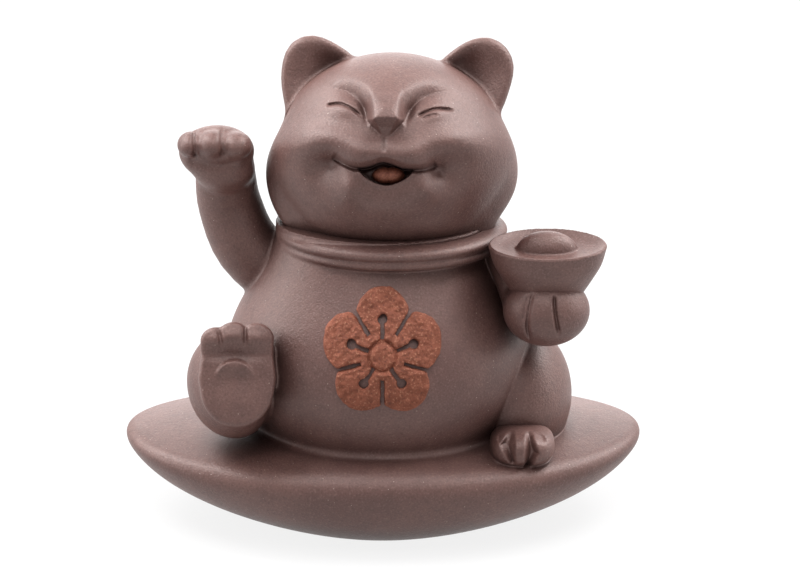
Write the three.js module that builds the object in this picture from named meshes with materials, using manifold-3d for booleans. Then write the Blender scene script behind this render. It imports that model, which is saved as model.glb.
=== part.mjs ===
// A laughing lucky cat in fired brown clay, seated on a boat-shaped ingot.
// It raises one paw to beckon and holds a small ingot on the other.
// Millimetres, Z up, the cat faces -Y, and the origin is under the middle of the seat.
import * as THREE from "three";
import { LoftGeometry } from "three/addons/geometries/LoftGeometry.js";
import { mergeVertices } from "three/addons/utils/BufferGeometryUtils.js";
import Module from "manifold-3d";

const wasm = await Module();
wasm.setup();

// Slip joint left open between two pieces of clay.
const JOINT_GAP = 0.3;

// Seat: a boat-shaped ingot with a crowned top, a foot ring and a firing vent below.
const SEAT_LENGTH = 81;
const SEAT_DEPTH = 52;
const SEAT_RIM_HEIGHT = 12.4;
const SEAT_CROWN_HEIGHT = 17.2;
const SEAT_SHEER = 0.9;
const SEAT_FOOT_LENGTH = 25;
const SEAT_FOOT_DEPTH = 29;
const FOOT_RING_WIDTH = 3.5;
const FOOT_RECESS = 0.9;
const VENT_DIAMETER = 5;
const VENT_DEPTH = 9;
const HULL_END_FULLNESS = 1.66;
const HULL_SIDE_FULLNESS = 2;
const CROWN_FULLNESS = 1.5;

// Torso: a round belly that narrows to the neck.
const BELLY_WIDTH = 49;
const BELLY_FRONT = 23.2;
const BELLY_BACK = 20.5;
const BELLY_RISE = 13.1;
const TORSO_FOOT_WIDTH = 38;
const TORSO_FOOT_FRONT = 18;
const TORSO_FOOT_BACK = 15.5;
const NECK_WIDTH = 32;
const NECK_FRONT = 13.8;
const NECK_BACK = 12.4;
const NECK_RISE = 32.6;
const SHOULDER_SLOPE = 1.5;
const NECK_SPIGOT_DIAMETER = 14;
const NECK_SPIGOT_LENGTH = 4;
const BELLY_HEIGHT = SEAT_RIM_HEIGHT + BELLY_RISE;
const NECK_HEIGHT = SEAT_RIM_HEIGHT + NECK_RISE;

// Head: turned up to the viewer and set a little to the cat's left. Its own sizes run in the turned frame.
const HEAD_WIDTH = 38.9;
const HEAD_FRONT = 17.6;
const HEAD_BACK = 16.4;
const HEAD_CROWN = 18.4;
const HEAD_CHIN = 15.8;
const HEAD_SHIFT = 1.4;
const HEAD_RISE = 9.5;
const HEAD_TILT = 17;
const HEAD_TURN = 3.5;
const HEAD_ROLL = 2;

// Face: each place is across and up from the middle of the head.
const NOSE_WIDTH = 5.8;
const NOSE_TIP_WIDTH = 1.2;
const NOSE_BRIDGE_WIDTH = 4.4;
const NOSE_TIP_UP = 5.4;
const NOSE_EDGE_UP = 8;
const NOSE_TOP_UP = 12;
const NOSE_REACH = 2.4;
const MOUTH_WIDTH = 9.2;
const MOUTH_UP = 0.6;
const MOUTH_DROP = 2.9;
const MOUTH_RISE = 0.7;
const MOUTH_DEPTH = 3.6;
const TONGUE_WIDTH = 5;
const TONGUE_THICKNESS = 1.7;
const EYE_SPACING = 15;
const EYE_LENGTH = 5.8;
const EYE_UP = 10.1;
const EYE_INNER_DROP = 1.5;
const EYE_OUTER_DROP = 0.2;
const EYE_SLIT = 0.8;

// Modelling of the face: mounds and hollows over the egg of the head, each with its full width and height.
const MUZZLE_SPACING = 7.4;
const MUZZLE_WIDTH = 6.4;
const MUZZLE_HEIGHT = 4.2;
const MUZZLE_REACH = 1.7;
const MUZZLE_UP = 2.8;
const CHEEK_SPACING = 23.6;
const CHEEK_WIDTH = 9.6;
const CHEEK_HEIGHT = 6.4;
const CHEEK_REACH = 2.3;
const CHEEK_UP = 4.8;
const HOLLOW_SPACING = 18.4;
const HOLLOW_WIDTH = 5;
const HOLLOW_HEIGHT = 6;
const HOLLOW_DEPTH = 1.5;
const HOLLOW_UP = -0.4;
const BROW_WIDTH = 10;
const BROW_HEIGHT = 6.4;
const BROW_REACH = 1.1;
const BROW_UP = 12;
const CHIN_WIDTH = 12.4;
const CHIN_HEIGHT = 5.8;
const CHIN_REACH = 1.7;
const CHIN_UP = -4.8;
const LOWER_FACE_RECESS = 2;
const LOWER_FACE_HEIGHT = 11.5;
const FACE_START = 1;
const FACE_FULL = 6;

// Ears: rounded leaves with a hollow front.
const EAR_WIDTH = 10.8;
const EAR_THICKNESS = 6.4;
const EAR_INSET = 7.4;
const EAR_LEAN = 1.3;
const EAR_RISE = 2.9;
const EAR_ARCH = 7.3;
const EAR_ROOT = 9;
const EAR_HOLLOW = 2;
const EAR_RIM = 1.5;

// Collar: a flattened roll around the neck.
const COLLAR_OVERHANG = 3.4;
const COLLAR_SIDE_OVERHANG = 1.9;
const COLLAR_HEIGHT = 4.4;
const COLLAR_THICKNESS = 6;
const COLLAR_WIDTH = NECK_WIDTH + 2 * COLLAR_SIDE_OVERHANG;
const COLLAR_DEPTH = NECK_FRONT + NECK_BACK + 2 * COLLAR_OVERHANG;

// Raised arm: it leaves the side of the torso, climbs beside the head and bends forward at the wrist.
const ARM_OUT = 8.1;
const ARM_SHOULDER_DROP = 10;
const ARM_ELBOW_DROP = 0.5;
const ARM_WRIST_RISE = 9;
const ARM_SET_BACK = 2.5;
const ARM_DIAMETER = 11;
const ARM_WRIST_DIAMETER = 9.4;
const RAISED_PAW_WIDTH = 11.7;
const RAISED_PAW_HEIGHT = 8;
const RAISED_PAW_LENGTH = 10;
const RAISED_PAW_RISE = 4.4;
const RAISED_PAW_FORWARD = 2.4;
const RAISED_PAW_OUT = 1.1;
const RAISED_TOE_LENGTH = 6.4;
const RAISED_TOE_HEIGHT = 7;

// Small ingot: a flared cup with a dished top and a dome in it.
const INGOT_LENGTH = 18.1;
const INGOT_DEPTH = 14;
const INGOT_FOOT_LENGTH = 10.6;
const INGOT_RISE = 1.4;
const INGOT_TALL = 7.2;
const INGOT_LIP = 0.9;
const INGOT_DISH = 1.2;
const INGOT_DOME_LENGTH = 9.8;
const INGOT_DOME_RISE = 2.1;
const INGOT_OUT = 9.1;
const INGOT_FORWARD = 12;
const INGOT_REACH = NECK_WIDTH / 2 + INGOT_OUT;
const INGOT_RIM_HEIGHT = NECK_HEIGHT + INGOT_RISE;

// Holding arm: it comes forward from the shoulder, and its paw lies under the small ingot.
const HOLDING_PAW_WIDTH = 13.2;
const HOLDING_PAW_HEIGHT = 9.4;
const HOLDING_PAW_LENGTH = 12;
const HOLDING_PAW_BED = 1.6;
const HOLDING_ARM_DIAMETER = 10;
const HOLDING_SHOULDER_DROP = 6.5;
const HOLDING_ELBOW_BACK = 9.5;

// Right leg: stretched forward so that its sole shows.
const SOLE_WIDTH = 11.6;
const SOLE_HEIGHT = 15.4;
const SOLE_INSET = 2.3;
const SOLE_RISE = 15.8;
const SOLE_RECESS = 1.8;
const SOLE_TILT = 17;
const SOLE_EDGE = 0.9;
const LEG_LENGTH = 22;
const LEG_FULLNESS = 4;
const LEG_BOW = 1.2;
const LEG_TURN_IN = 1;
const HEEL_DROP = 3;
const SOLE_PAD_WIDTH = 7.4;
const SOLE_PAD_RISE = 0.8;

// Left leg: a folded thigh with the foot in front of it.
const THIGH_WIDTH = 18.4;
const THIGH_LENGTH = 25;
const THIGH_HEIGHT = 21.6;
const THIGH_INSET = 4.2;
const THIGH_FORWARD = 4;
const THIGH_RISE = 7.4;
const THIGH_REACH = BELLY_WIDTH / 2 - THIGH_INSET;
const LEFT_FOOT_WIDTH = 10.4;
const LEFT_FOOT_LENGTH = 14;
const LEFT_FOOT_HEIGHT = 7;
const LEFT_FOOT_OUT = 1;
const LEFT_FOOT_AHEAD = 10;
const LEFT_FOOT_RISE = 3;

// Toes shared by all four paws.
const TOE_COUNT = 3;
const TOE_OVERLAP = 1.5;

// Tail: a short tapering roll that lies against the back.
const TAIL_DIAMETER = 6.4;
const TAIL_TIP_DIAMETER = 4.2;
const TAIL_SWEEP = 13;
const TAIL_LIFT = 7;

// Ornament: a five-petalled blossom in red clay, laid on the belly.
const PETAL_COUNT = 5;
const BLOSSOM_DIAMETER = 18.6;
const PETAL_DIAMETER = 8.2;
const BLOSSOM_RISE = 6.1;
const BLOSSOM_RELIEF = 1;
const STAMEN_COUNT = 5;
const STAMEN_LENGTH = 2.2;
const STAMEN_WIDTH = 0.9;
const STAMEN_START = 2;
const BLOSSOM_HEIGHT = BELLY_HEIGHT + BLOSSOM_RISE;

// Fineness of the round forms.
const ROUND_SIDES = 34;
const ROUND_STEPS = 14;
const HEAD_SIDES = 42;
const HEAD_STEPS = 20;
const SMALL_SIDES = 12;
const SMALL_STEPS = 8;
const BEND_STEPS = 10;
const CURVE_STEPS = 3;
// A cubic curve whose two handles drop by this much more than its middle does.
const BEZIER_REACH = 4 / 3;
const WELD = 1e-5;

const X_AXIS = new THREE.Vector3(1, 0, 0);
const Y_AXIS = new THREE.Vector3(0, 1, 0);
const Z_AXIS = new THREE.Vector3(0, 0, 1);
const at = (x, y, z) => new THREE.Vector3(x, y, z);

// Closed geometry to a solid for joining and cutting, and back.
function solid(geometry) {
  const bare = new THREE.BufferGeometry();
  bare.setAttribute("position", geometry.attributes.position);
  bare.setIndex(geometry.index);
  const welded = mergeVertices(bare, WELD);
  return new wasm.Manifold(new wasm.Mesh({
    numProp: 3,
    vertProperties: new Float32Array(welded.attributes.position.array),
    triVerts: new Uint32Array(welded.index.array),
  }));
}

function geometryOf(body) {
  const mesh = body.getMesh();
  const geometry = new THREE.BufferGeometry();
  const points = new Float32Array(mesh.vertProperties);
  geometry.setAttribute("position", new THREE.BufferAttribute(points, mesh.numProp));
  geometry.setIndex(new THREE.BufferAttribute(new Uint32Array(mesh.triVerts), 1));
  geometry.computeVertexNormals();
  return geometry;
}

const moved = (body, matrix) => body.transform(matrix.elements);
const joined = (bodies) => bodies.reduce((whole, body) => whole.add(body));
const cutBy = (body, neighbours) => neighbours.reduce((rest, neighbour) => rest.subtract(neighbour), body);

// One section of a loft: an ellipse whose reach may differ to the two sides of its second axis.
function section(middle, across, along, halfAcross, reachAhead, reachBehind, sides) {
  return Array.from({ length: sides }, (_, step) => {
    const turn = (step / sides) * 2 * Math.PI;
    const reach = Math.sin(turn) > 0 ? reachAhead : reachBehind;
    return middle.clone()
      .addScaledVector(across, halfAcross * Math.cos(turn))
      .addScaledVector(along, reach * Math.sin(turn));
  });
}

const loft = (sections) => solid(new LoftGeometry(sections, { capStart: true, capEnd: true }));

function ellipsoid(middle, width, length, height, sides = SMALL_SIDES, steps = SMALL_STEPS) {
  const geometry = new THREE.SphereGeometry(1, sides, steps);
  geometry.rotateX(Math.PI / 2);
  geometry.scale(width / 2, length / 2, height / 2);
  geometry.translate(middle.x, middle.y, middle.z);
  return solid(geometry);
}

// A roll of clay along a smooth path, with its diameter going from one end to the other, and round ends.
function roll(points, startDiameter, endDiameter) {
  const path = new THREE.CatmullRomCurve3(points);
  const frames = path.computeFrenetFrames(BEND_STEPS, false);
  const sections = frames.tangents.map((_, step) => {
    const share = step / BEND_STEPS;
    const radius = THREE.MathUtils.lerp(startDiameter, endDiameter, share) / 2;
    return section(path.getPointAt(share), frames.normals[step], frames.binormals[step],
      radius, radius, radius, SMALL_SIDES);
  });
  const start = ellipsoid(points[0], startDiameter, startDiameter, startDiameter);
  const end = ellipsoid(points.at(-1), endDiameter, endDiameter, endDiameter);
  return joined([loft(sections), start, end]);
}

// A row of toes across a paw, wide enough to run into each other.
function toes(middle, pawWidth, length, height) {
  const pitch = pawWidth / (TOE_COUNT - 1 + TOE_OVERLAP);
  return Array.from({ length: TOE_COUNT }, (_, toe) => {
    const side = (toe - (TOE_COUNT - 1) / 2) * pitch;
    return ellipsoid(at(middle.x + side, middle.y, middle.z), pitch * TOE_OVERLAP, length, height);
  });
}

const oval = (height, halfLength, halfDepth) =>
  section(at(0, 0, height), X_AXIS, Y_AXIS, halfLength, halfDepth, halfDepth, ROUND_SIDES);

// The seat rises from its foot through a boat-shaped hull to the rim, and closes in a crowned top.
// Its two ends turn up a little.
function seatForm(grow) {
  const halfLength = SEAT_LENGTH / 2 + grow;
  const halfDepth = SEAT_DEPTH / 2 + grow;
  const footLength = SEAT_FOOT_LENGTH / 2 + grow;
  const footDepth = SEAT_FOOT_DEPTH / 2 + grow;
  const hull = Array.from({ length: SMALL_STEPS }, (_, step) => {
    const share = step / SMALL_STEPS;
    const flare = (power) => (1 - (1 - share) ** power) ** (1 / power);
    return oval(share * SEAT_RIM_HEIGHT, footLength + (halfLength - footLength) * flare(HULL_END_FULLNESS),
      footDepth + (halfDepth - footDepth) * flare(HULL_SIDE_FULLNESS));
  });
  const crown = Array.from({ length: SMALL_STEPS }, (_, step) => {
    const climb = (step / SMALL_STEPS) * Math.PI / 2;
    const lift = (SEAT_CROWN_HEIGHT + grow - SEAT_RIM_HEIGHT) * Math.sin(climb) ** CROWN_FULLNESS;
    return oval(SEAT_RIM_HEIGHT + lift, halfLength * Math.cos(climb), halfDepth * Math.cos(climb));
  });
  const sections = [...hull, ...crown];
  sections.flat().forEach((point) => {
    point.z += SEAT_SHEER * (point.x / halfLength) ** 4 * Math.min(point.z / SEAT_RIM_HEIGHT, 1);
  });
  return loft(sections);
}

// Inside its foot ring the underside is recessed, with a vent hole in the middle.
function seat() {
  const recess = loft([-FOOT_RECESS, FOOT_RECESS].map((height) =>
    oval(height, SEAT_FOOT_LENGTH / 2 - FOOT_RING_WIDTH, SEAT_FOOT_DEPTH / 2 - FOOT_RING_WIDTH)));
  const vent = new THREE.CylinderGeometry(VENT_DIAMETER / 2, VENT_DIAMETER / 2, 2 * VENT_DEPTH, SMALL_SIDES);
  vent.rotateX(Math.PI / 2);
  return cutBy(seatForm(0), [recess, solid(vent)]);
}

// A size that swells from the foot of the torso to the belly and shrinks to the neck.
function swell(foot, belly, neck, height) {
  if (height < BELLY_HEIGHT) {
    const climb = (height - SEAT_RIM_HEIGHT) / (BELLY_HEIGHT - SEAT_RIM_HEIGHT);
    return foot + (belly - foot) * Math.sin(climb * Math.PI / 2);
  }
  const climb = (height - BELLY_HEIGHT) / (NECK_HEIGHT - BELLY_HEIGHT);
  return neck + (belly - neck) * Math.max(Math.cos(climb * Math.PI / 2), 0) ** SHOULDER_SLOPE;
}

function torsoForm(grow) {
  const rise = NECK_HEIGHT - SEAT_RIM_HEIGHT;
  const sections = Array.from({ length: ROUND_STEPS + 1 }, (_, step) => {
    const height = SEAT_RIM_HEIGHT + rise * step / ROUND_STEPS;
    const lift = step === ROUND_STEPS ? grow : 0;
    return section(at(0, 0, height + lift), X_AXIS, Y_AXIS,
      swell(TORSO_FOOT_WIDTH, BELLY_WIDTH, NECK_WIDTH, height) / 2 + grow,
      swell(TORSO_FOOT_BACK, BELLY_BACK, NECK_BACK, height) + grow,
      swell(TORSO_FOOT_FRONT, BELLY_FRONT, NECK_FRONT, height) + grow, ROUND_SIDES);
  });
  const spigot = new THREE.CylinderGeometry(NECK_SPIGOT_DIAMETER / 2 + grow, NECK_SPIGOT_DIAMETER / 2 + grow,
    2 * (NECK_SPIGOT_LENGTH + grow), SMALL_SIDES);
  spigot.rotateX(Math.PI / 2);
  spigot.translate(HEAD_SHIFT, 0, NECK_HEIGHT);
  return loft(sections).add(solid(spigot));
}

// How far the face stands out from the plain egg at a distance across and up from the middle of the head.
function faceRelief(across, up) {
  const mound = (reach, spacing, width, height, middle) => {
    const beside = (Math.abs(across) - spacing / 2) / (width / 2);
    const above = (up - middle) / (height / 2);
    return reach * Math.exp(-beside * beside - above * above);
  };
  return mound(CHEEK_REACH, CHEEK_SPACING, CHEEK_WIDTH, CHEEK_HEIGHT, CHEEK_UP)
    + mound(MUZZLE_REACH, MUZZLE_SPACING, MUZZLE_WIDTH, MUZZLE_HEIGHT, MUZZLE_UP)
    + mound(BROW_REACH, 0, BROW_WIDTH, BROW_HEIGHT, BROW_UP)
    + mound(CHIN_REACH, 0, CHIN_WIDTH, CHIN_HEIGHT, CHIN_UP)
    - mound(HOLLOW_DEPTH, HOLLOW_SPACING, HOLLOW_WIDTH, HOLLOW_HEIGHT, HOLLOW_UP)
    - LOWER_FACE_RECESS * THREE.MathUtils.smoothstep(CHEEK_UP - up, 0, LOWER_FACE_HEIGHT);
}

// The head is an egg with its own reach to each side, and the face is modelled on its front.
// Points in its frame are across, back and up.
function headForm(grow) {
  const half = HEAD_WIDTH / 2 + grow;
  const front = HEAD_FRONT + grow;
  const sections = Array.from({ length: HEAD_STEPS - 1 }, (_, step) => {
    const climb = ((step + 1) / HEAD_STEPS - 0.5) * Math.PI;
    const reach = (climb > 0 ? HEAD_CROWN : HEAD_CHIN) + grow;
    const share = Math.cos(climb);
    const points = section(at(0, 0, Math.sin(climb) * reach), X_AXIS, Y_AXIS, share * half,
      share * (HEAD_BACK + grow), share * front, HEAD_SIDES);
    points.forEach((point) => {
      const out = at(point.x / half ** 2, point.y / front ** 2, point.z / reach ** 2).normalize();
      const ahead = THREE.MathUtils.smoothstep(-point.y, FACE_START, FACE_FULL);
      point.addScaledVector(out, ahead * faceRelief(point.x, point.z));
    });
    return points;
  });
  return loft(sections);
}

// The place on the front of the head at a distance across and up from its middle.
function onFace(across, up) {
  const rise = up / (up > 0 ? HEAD_CROWN : HEAD_CHIN);
  const side = across / (HEAD_WIDTH / 2);
  return at(across, -HEAD_FRONT * Math.sqrt(1 - rise * rise - side * side) - faceRelief(across, up), up);
}

// The wedge of the nose grows out of the brow to an edge and falls back to a tip above the lip.
function nose() {
  const ring = (up, width, reach) => section(onFace(0, up), X_AXIS, Y_AXIS,
    width / 2, NOSE_REACH, reach, SMALL_SIDES);
  return loft([
    ring(NOSE_TIP_UP, NOSE_TIP_WIDTH, NOSE_TIP_WIDTH / 2),
    ring(NOSE_EDGE_UP, NOSE_WIDTH, NOSE_REACH),
    ring(NOSE_TOP_UP, NOSE_BRIDGE_WIDTH, 0),
  ]);
}

// The open mouth: a smile with a bowed upper edge, cut straight into the head.
function mouthForm(shrink) {
  const half = MOUTH_WIDTH / 2 - shrink;
  const smile = new THREE.Shape();
  smile.moveTo(-half, 0);
  smile.quadraticCurveTo(-half / 2, 0, 0, MOUTH_RISE - shrink);
  smile.quadraticCurveTo(half / 2, 0, half, 0);
  const pull = shrink - MOUTH_DROP * BEZIER_REACH;
  smile.bezierCurveTo(half / 2, pull, -half / 2, pull, -half, 0);
  const floor = onFace(0, MOUTH_UP).y + MOUTH_DEPTH - shrink;
  const geometry = new THREE.ExtrudeGeometry(smile,
    { depth: HEAD_FRONT, bevelEnabled: false, curveSegments: 2 * CURVE_STEPS });
  geometry.rotateX(Math.PI / 2);
  geometry.translate(0, floor, MOUTH_UP);
  return solid(geometry);
}

// A closed, laughing eye: an arched slit that follows the face.
function eye(side) {
  const place = (across, drop) => onFace(side * across, EYE_UP - drop);
  return roll([
    place((EYE_SPACING - EYE_LENGTH) / 2, EYE_INNER_DROP),
    place(EYE_SPACING / 2, 0),
    place((EYE_SPACING + EYE_LENGTH) / 2, EYE_OUTER_DROP),
  ], EYE_SLIT, EYE_SLIT);
}

function head(neighbours) {
  return cutBy(headForm(0).add(nose()), [mouthForm(0), eye(-1), eye(1), ...neighbours]);
}

function tongue() {
  const middle = at(0, onFace(0, MOUTH_UP).y + MOUTH_DEPTH / 2, MOUTH_UP);
  return ellipsoid(middle, TONGUE_WIDTH, MOUTH_DEPTH, 2 * TONGUE_THICKNESS).intersect(mouthForm(JOINT_GAP));
}

// An ear grows out of the head, closes in an arch, and is hollowed from the front.
function ear(side, neighbours) {
  const middle = side * (HEAD_WIDTH / 2 - EAR_INSET);
  const shoulder = HEAD_CROWN + EAR_RISE - EAR_ARCH;
  const straight = section(at(middle, 0, shoulder - EAR_ROOT), X_AXIS, Y_AXIS,
    EAR_WIDTH / 2, EAR_THICKNESS / 2, EAR_THICKNESS / 2, SMALL_SIDES);
  const arch = Array.from({ length: SMALL_STEPS }, (_, step) => {
    const climb = (step / SMALL_STEPS) * Math.PI / 2;
    const up = shoulder + EAR_ARCH * Math.sin(climb);
    const share = Math.cos(climb);
    const lean = side * EAR_LEAN * (1 - share);
    return section(at(middle + lean, 0, up), X_AXIS, Y_AXIS,
      share * EAR_WIDTH / 2, share * EAR_THICKNESS / 2, share * EAR_THICKNESS / 2, SMALL_SIDES);
  });
  const hollow = ellipsoid(at(middle + side * EAR_LEAN / 2, -EAR_THICKNESS / 2, shoulder + EAR_HOLLOW),
    EAR_WIDTH - 2 * EAR_RIM, 2 * EAR_HOLLOW, 2 * (EAR_ARCH - EAR_HOLLOW - EAR_RIM));
  return cutBy(loft([straight, ...arch]), [hollow, ...neighbours]);
}

// The collar is a flattened ring, wide enough to bed on the neck and the torso.
function collarForm(grow) {
  const thickness = COLLAR_THICKNESS / 2 + grow;
  const geometry = new THREE.TorusGeometry(COLLAR_WIDTH / 2 - COLLAR_THICKNESS / 2, thickness,
    SMALL_STEPS, ROUND_SIDES);
  geometry.scale(1, COLLAR_DEPTH / COLLAR_WIDTH, (COLLAR_HEIGHT / 2 + grow) / thickness);
  geometry.translate(HEAD_SHIFT, 0, NECK_HEIGHT);
  return solid(geometry);
}

function raisedArm(neighbours) {
  const shoulder = at(-NECK_WIDTH / 2, ARM_SET_BACK, NECK_HEIGHT - ARM_SHOULDER_DROP);
  const elbow = at(shoulder.x - ARM_OUT, ARM_SET_BACK, NECK_HEIGHT - ARM_ELBOW_DROP);
  const wrist = at(elbow.x, 0, NECK_HEIGHT + ARM_WRIST_RISE);
  const bend = ARM_DIAMETER / 4;
  const arm = roll([
    shoulder,
    at(elbow.x + bend, elbow.y, elbow.z - bend),
    at(elbow.x, elbow.y, (elbow.z + wrist.z) / 2),
    wrist,
  ], ARM_DIAMETER, ARM_WRIST_DIAMETER);
  const paw = at(wrist.x - RAISED_PAW_OUT, -RAISED_PAW_FORWARD, wrist.z + RAISED_PAW_RISE);
  const palm = ellipsoid(paw, RAISED_PAW_WIDTH, RAISED_PAW_LENGTH, RAISED_PAW_HEIGHT);
  const tips = at(paw.x, paw.y - (RAISED_PAW_LENGTH - RAISED_TOE_LENGTH) / 2, paw.z);
  const row = toes(tips, RAISED_PAW_WIDTH, RAISED_TOE_LENGTH, RAISED_TOE_HEIGHT);
  return cutBy(joined([arm, palm, ...row]), neighbours);
}

// The small ingot is turned to an oval: a flared cup, a lip, a dished top and a dome.
function ingotForm(grow) {
  const half = INGOT_LENGTH / 2 + grow;
  const foot = INGOT_FOOT_LENGTH / 2 + grow;
  const dome = INGOT_DOME_LENGTH / 2;
  const profile = new THREE.Path();
  profile.moveTo(0, -INGOT_TALL - grow);
  profile.lineTo(foot - INGOT_LIP, -INGOT_TALL - grow);
  profile.quadraticCurveTo(foot, -INGOT_TALL - grow, foot, -INGOT_TALL + INGOT_LIP);
  profile.quadraticCurveTo(half - INGOT_LIP, -INGOT_TALL / 2, half, -INGOT_LIP / 2);
  profile.quadraticCurveTo(half, grow, half - INGOT_LIP, grow);
  profile.quadraticCurveTo(dome + INGOT_LIP, -INGOT_DISH + grow, dome, -INGOT_DISH + grow);
  profile.quadraticCurveTo(dome, INGOT_DOME_RISE + grow, 0, INGOT_DOME_RISE + grow);
  const geometry = new THREE.LatheGeometry(profile.getPoints(CURVE_STEPS), 2 * SMALL_SIDES);
  geometry.rotateX(Math.PI / 2);
  geometry.scale(1, (INGOT_DEPTH / 2 + grow) / half, 1);
  geometry.translate(INGOT_REACH, -INGOT_FORWARD, INGOT_RIM_HEIGHT);
  return solid(geometry);
}

function holdingArm(neighbours) {
  const top = INGOT_RIM_HEIGHT - INGOT_TALL + HOLDING_PAW_BED;
  const paw = at(INGOT_REACH, -INGOT_FORWARD - HOLDING_PAW_BED, top - HOLDING_PAW_HEIGHT / 2);
  const arm = roll([
    at(NECK_WIDTH / 2, ARM_SET_BACK, NECK_HEIGHT - HOLDING_SHOULDER_DROP),
    at(paw.x, paw.y + HOLDING_ELBOW_BACK, paw.z),
    paw,
  ], HOLDING_ARM_DIAMETER, HOLDING_PAW_HEIGHT);
  const row = toes(paw, HOLDING_PAW_WIDTH, HOLDING_PAW_LENGTH, HOLDING_PAW_HEIGHT);
  return cutBy(joined([arm, ...row]), neighbours);
}

// The stretched leg runs back from its sole to a round hip.
// The sole carries toes above and a pad in the middle.
function rightLeg(neighbours) {
  const sections = Array.from({ length: SMALL_STEPS }, (_, step) => {
    const share = step / SMALL_STEPS;
    const swing = Math.sin(share * Math.PI);
    const close = Math.sqrt(1 - share ** LEG_FULLNESS);
    const edge = step === 0 ? SOLE_EDGE : 0;
    const middle = at(LEG_TURN_IN * share ** 2 - LEG_BOW * swing, share * LEG_LENGTH, 0);
    return section(middle, X_AXIS, Z_AXIS.clone().negate(),
      (SOLE_WIDTH / 2 + LEG_BOW * swing) * close - edge,
      (SOLE_HEIGHT / 2 + HEEL_DROP * swing) * close - edge,
      SOLE_HEIGHT / 2 * close - edge, SMALL_SIDES);
  });
  const pitch = SOLE_WIDTH / TOE_COUNT;
  const tips = at(0, SOLE_EDGE, SOLE_HEIGHT / 2 - pitch);
  const pad = ellipsoid(at(0, 0, -pitch / 2), SOLE_PAD_WIDTH, 2 * SOLE_PAD_RISE, SOLE_PAD_WIDTH);
  return cutBy(joined([loft(sections), pad, ...toes(tips, SOLE_WIDTH, pitch, 2 * pitch)]), neighbours);
}

function thighForm(grow) {
  return ellipsoid(at(THIGH_REACH, -THIGH_FORWARD, SEAT_RIM_HEIGHT + THIGH_RISE), THIGH_WIDTH + 2 * grow,
    THIGH_LENGTH + 2 * grow, THIGH_HEIGHT + 2 * grow, 2 * SMALL_SIDES, 2 * SMALL_STEPS);
}

function leftFoot(neighbours) {
  const middle = at(THIGH_REACH + LEFT_FOOT_OUT, -THIGH_FORWARD - LEFT_FOOT_AHEAD,
    SEAT_RIM_HEIGHT + LEFT_FOOT_RISE);
  return cutBy(joined(toes(middle, LEFT_FOOT_WIDTH, LEFT_FOOT_LENGTH, LEFT_FOOT_HEIGHT)), neighbours);
}

function tail(neighbours) {
  const root = SEAT_CROWN_HEIGHT + TAIL_DIAMETER / 4;
  return cutBy(roll([
    at(0, TORSO_FOOT_BACK, root),
    at(TAIL_SWEEP / 3, BELLY_BACK, root),
    at(2 * TAIL_SWEEP / 3, BELLY_BACK, root + TAIL_LIFT / 3),
    at(TAIL_SWEEP, BELLY_BACK - TAIL_TIP_DIAMETER / 2, root + TAIL_LIFT),
  ], TAIL_DIAMETER, TAIL_TIP_DIAMETER), neighbours);
}

// The blossom is the part of a petalled prism that lies just outside the belly.
function blossom() {
  const petalRing = (BLOSSOM_DIAMETER - PETAL_DIAMETER) / 2;
  const prism = (shape) => {
    const geometry = new THREE.ExtrudeGeometry(shape,
      { depth: 2 * BELLY_FRONT, bevelEnabled: false, curveSegments: SMALL_STEPS });
    geometry.rotateX(Math.PI / 2);
    geometry.translate(0, 0, BLOSSOM_HEIGHT);
    return solid(geometry);
  };
  const disc = (radius, turn, diameter) => new THREE.Shape().absarc(
    radius * Math.sin(turn), radius * Math.cos(turn), diameter / 2, 0, 2 * Math.PI);
  const petals = Array.from({ length: PETAL_COUNT }, (_, petal) =>
    prism(disc(petalRing, (petal / PETAL_COUNT) * 2 * Math.PI, PETAL_DIAMETER)));
  const stamens = Array.from({ length: STAMEN_COUNT }, (_, stamen) => {
    const slot = new THREE.Shape();
    slot.moveTo(-STAMEN_WIDTH / 2, STAMEN_START);
    slot.lineTo(STAMEN_WIDTH / 2, STAMEN_START);
    slot.absarc(0, STAMEN_START + STAMEN_LENGTH, STAMEN_WIDTH, 0, Math.PI);
    const turned = prism(slot);
    const turn = new THREE.Matrix4().makeRotationY((stamen / STAMEN_COUNT) * 2 * Math.PI);
    const centre = new THREE.Matrix4().makeTranslation(0, 0, BLOSSOM_HEIGHT);
    return moved(turned, centre.clone().multiply(turn).multiply(centre.clone().invert()));
  });
  const heart = prism(disc(0, 0, BLOSSOM_DIAMETER - PETAL_DIAMETER));
  return cutBy(joined([heart, ...petals]), stamens)
    .intersect(torsoForm(BLOSSOM_RELIEF)).subtract(torsoForm(JOINT_GAP));
}

const clay = (name, color, roughness) => {
  const material = new THREE.MeshStandardMaterial({ color, roughness, metalness: 0 });
  material.name = name;
  return material;
};
const BROWN_CLAY = clay("brown_clay", 0x7d6561, 0.62);
const RED_CLAY = clay("red_clay", 0xa0583f, 0.8);
const TONGUE_CLAY = clay("tongue_clay", 0x7f4a3e, 0.7);

const cat = new THREE.Group();
cat.name = "lucky_cat";
const headGroup = new THREE.Group();
headGroup.name = "head_group";
headGroup.position.set(HEAD_SHIFT, 0, NECK_HEIGHT + HEAD_RISE);
headGroup.rotation.set(...[-HEAD_TILT, HEAD_ROLL, -HEAD_TURN].map(THREE.MathUtils.degToRad));
headGroup.updateMatrix();
cat.add(headGroup);
const legGroup = new THREE.Group();
legGroup.name = "right_leg_group";
legGroup.position.set(SOLE_INSET - BELLY_WIDTH / 2, SOLE_RECESS - BELLY_FRONT,
  SEAT_RIM_HEIGHT + SOLE_RISE);
legGroup.rotation.x = -THREE.MathUtils.degToRad(SOLE_TILT);
legGroup.updateMatrix();
cat.add(legGroup);

function addPiece(group, name, body, material) {
  const mesh = new THREE.Mesh(geometryOf(body), material);
  mesh.name = name;
  group.add(mesh);
}

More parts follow.
